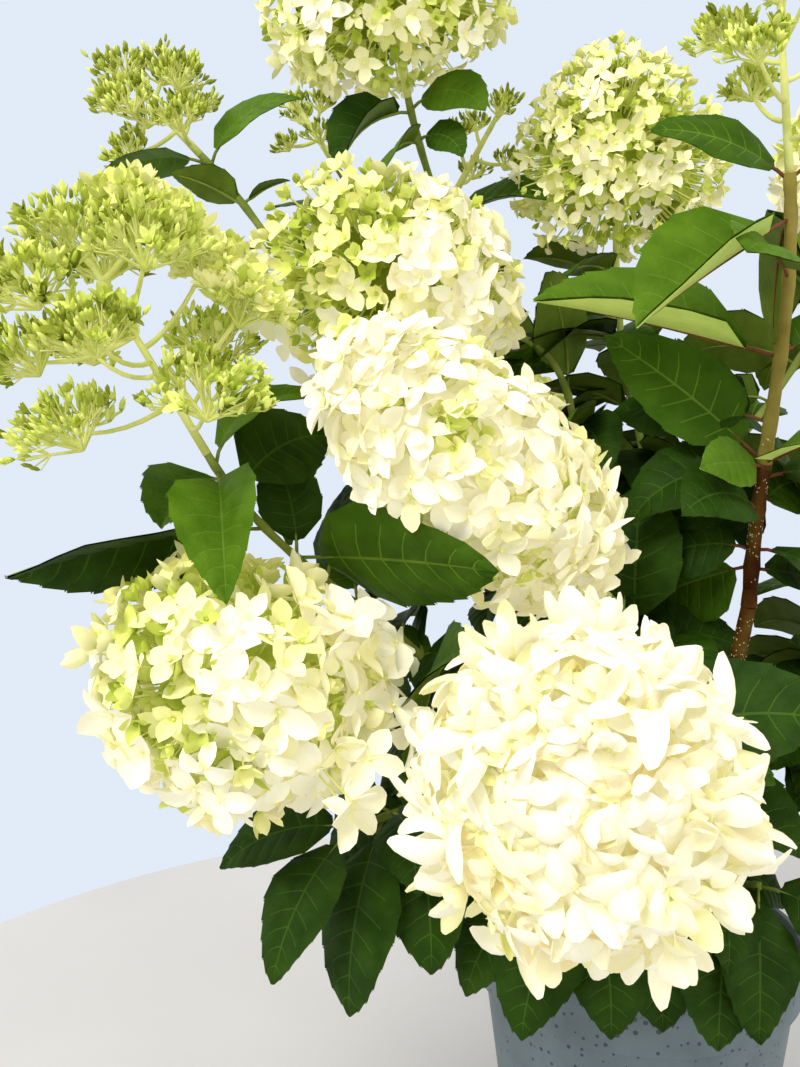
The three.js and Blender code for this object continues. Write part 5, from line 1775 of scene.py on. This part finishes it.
# radius and height, from the base up the outside, over the lip and down the inside to the pot's floor
POT_PROFILE = [
    (wall_radius(0) - 2, 0), (wall_radius(2), 2), (wall_radius(BAND_FOOT), BAND_FOOT),
    (RIM_RADIUS - 2.4, BAND_FOOT + 0.4), (RIM_RADIUS - 1.8, BAND_FOOT + 1.4), (RIM_RADIUS, POT_HEIGHT - 3),
    (RIM_RADIUS - 0.3, POT_HEIGHT - 0.8), (RIM_RADIUS - 1.2, POT_HEIGHT), (INNER_TOP + 0.8, POT_HEIGHT),
    (INNER_TOP, POT_HEIGHT - 1), (wall_radius(6) - WALL, 6), (wall_radius(4) - WALL - 2, POT_FLOOR),
]
pot = raise_disc("pot_shell", POT_PROFILE)
cutters = []
for number in range(DRAIN_HOLES):
    turn = 2 * math.pi * number / DRAIN_HOLES
    place = (DRAIN_RING * MM * math.cos(turn), DRAIN_RING * MM * math.sin(turn), 0)
    bpy.ops.mesh.primitive_cylinder_add(vertices=DRAIN_SIDES, radius=DRAIN_RADIUS * MM,
                                        depth=DRAIN_CUT * MM, location=place)
    cutters.append(bpy.context.object)
cutter = join(cutters, "drain")
press(pot, "BOOLEAN", object=cutter)
bpy.data.objects.remove(cutter)
select_only(pot)
bpy.ops.object.shade_smooth_by_angle(angle=math.radians(SMOOTH_ANGLE))
coat(pot, "pot_plastic")
dress(pot, "pot")
print("pot with", len(pot.data.polygons), "faces")

# %% [markdown]
# ## Potting mix
# Composted bark is dark, crumbly and never level. The mix is extruded like the pot, with narrow rings
# over its top, which a cloud texture pushes up and down. Loose crumbs lie on it.

# %% Potting mix
MIX_INSET, MIX_FOOT_INSET = 0.9, 1.5
MIX_RINGS = 26
MIX_RELIEF, MIX_SUNK, MIX_LEVEL = 9, 2, 0.5
CLOD_SIZE, CLOD_DEPTH = 0.012, 4
EDGE_MARGIN = 2
mix_low = POT_FLOOR + CAP_GAP
mix_radius = wall_radius(MIX_TOP) - WALL - MIX_INSET
rings = [(mix_radius * (1 - ring / MIX_RINGS), MIX_TOP - MIX_SUNK) for ring in range(MIX_RINGS)]
mix = raise_disc("mix_bed", [(wall_radius(mix_low) - WALL - MIX_INSET - MIX_FOOT_INSET, mix_low), *rings])
top = mix.vertex_groups.new(name="top")
top.add([v.index for v in mix.data.vertices if v.co.z + mix.location.z > (MIX_TOP - MIX_SUNK - 1) * MM
         and v.co.xy.length < (mix_radius - EDGE_MARGIN) * MM], 1, "REPLACE")
press(mix, "DISPLACE", texture=clouds("clods", CLOD_SIZE, CLOD_DEPTH), texture_coords="LOCAL",
      direction="Z", vertex_group="top", strength=MIX_RELIEF * MM, mid_level=MIX_LEVEL)
bpy.ops.object.shade_smooth()
coat(mix, "compost")
dress(mix, "potting_mix")
print("mix with", len(mix.data.polygons), "faces")

# %% Loose crumbs
CRUMBS = 420
CRUMB_MARGIN = 6
CRUMB_HEIGHTS, CRUMB_LENGTHS = (-1, 2.5), (2, 9)
CRUMB_SHAPE = np.array([1, 0.5, 0.35])
CRUMB_LEVELNESS = [1, 1, 0.4]
BROWN_CRUMBS = 0.4
rng = np.random.default_rng(MIX_TOP)
reach = (mix_radius - CRUMB_MARGIN) * np.sqrt(rng.random(CRUMBS))
turns = rng.uniform(0, 2 * math.pi, CRUMBS)
heights = MIX_TOP + rng.uniform(*CRUMB_HEIGHTS, CRUMBS)
places = np.stack([reach * np.cos(turns), reach * np.sin(turns), heights], axis=1)
ways = unit(rng.normal(0, 1, (CRUMBS, 3)) * CRUMB_LEVELNESS)
axes = np.stack([ways, *cross_directions(ways)], axis=1)
sizes = rng.uniform(*CRUMB_LENGTHS, (CRUMBS, 1)) * CRUMB_SHAPE
crumbs = Bundle("mix_crumbs", ["compost", "crumb"])
add_grains(crumbs, places, axes, sizes, (rng.random(CRUMBS) < BROWN_CRUMBS).astype(int)[:, None])
print("crumbs:", crumbs.make(["potting_mix"]), "triangles")

# %% [markdown]
# ## The floor's finish

# %% Floor finish
floor.data.materials.append(FINISHES["floor"])
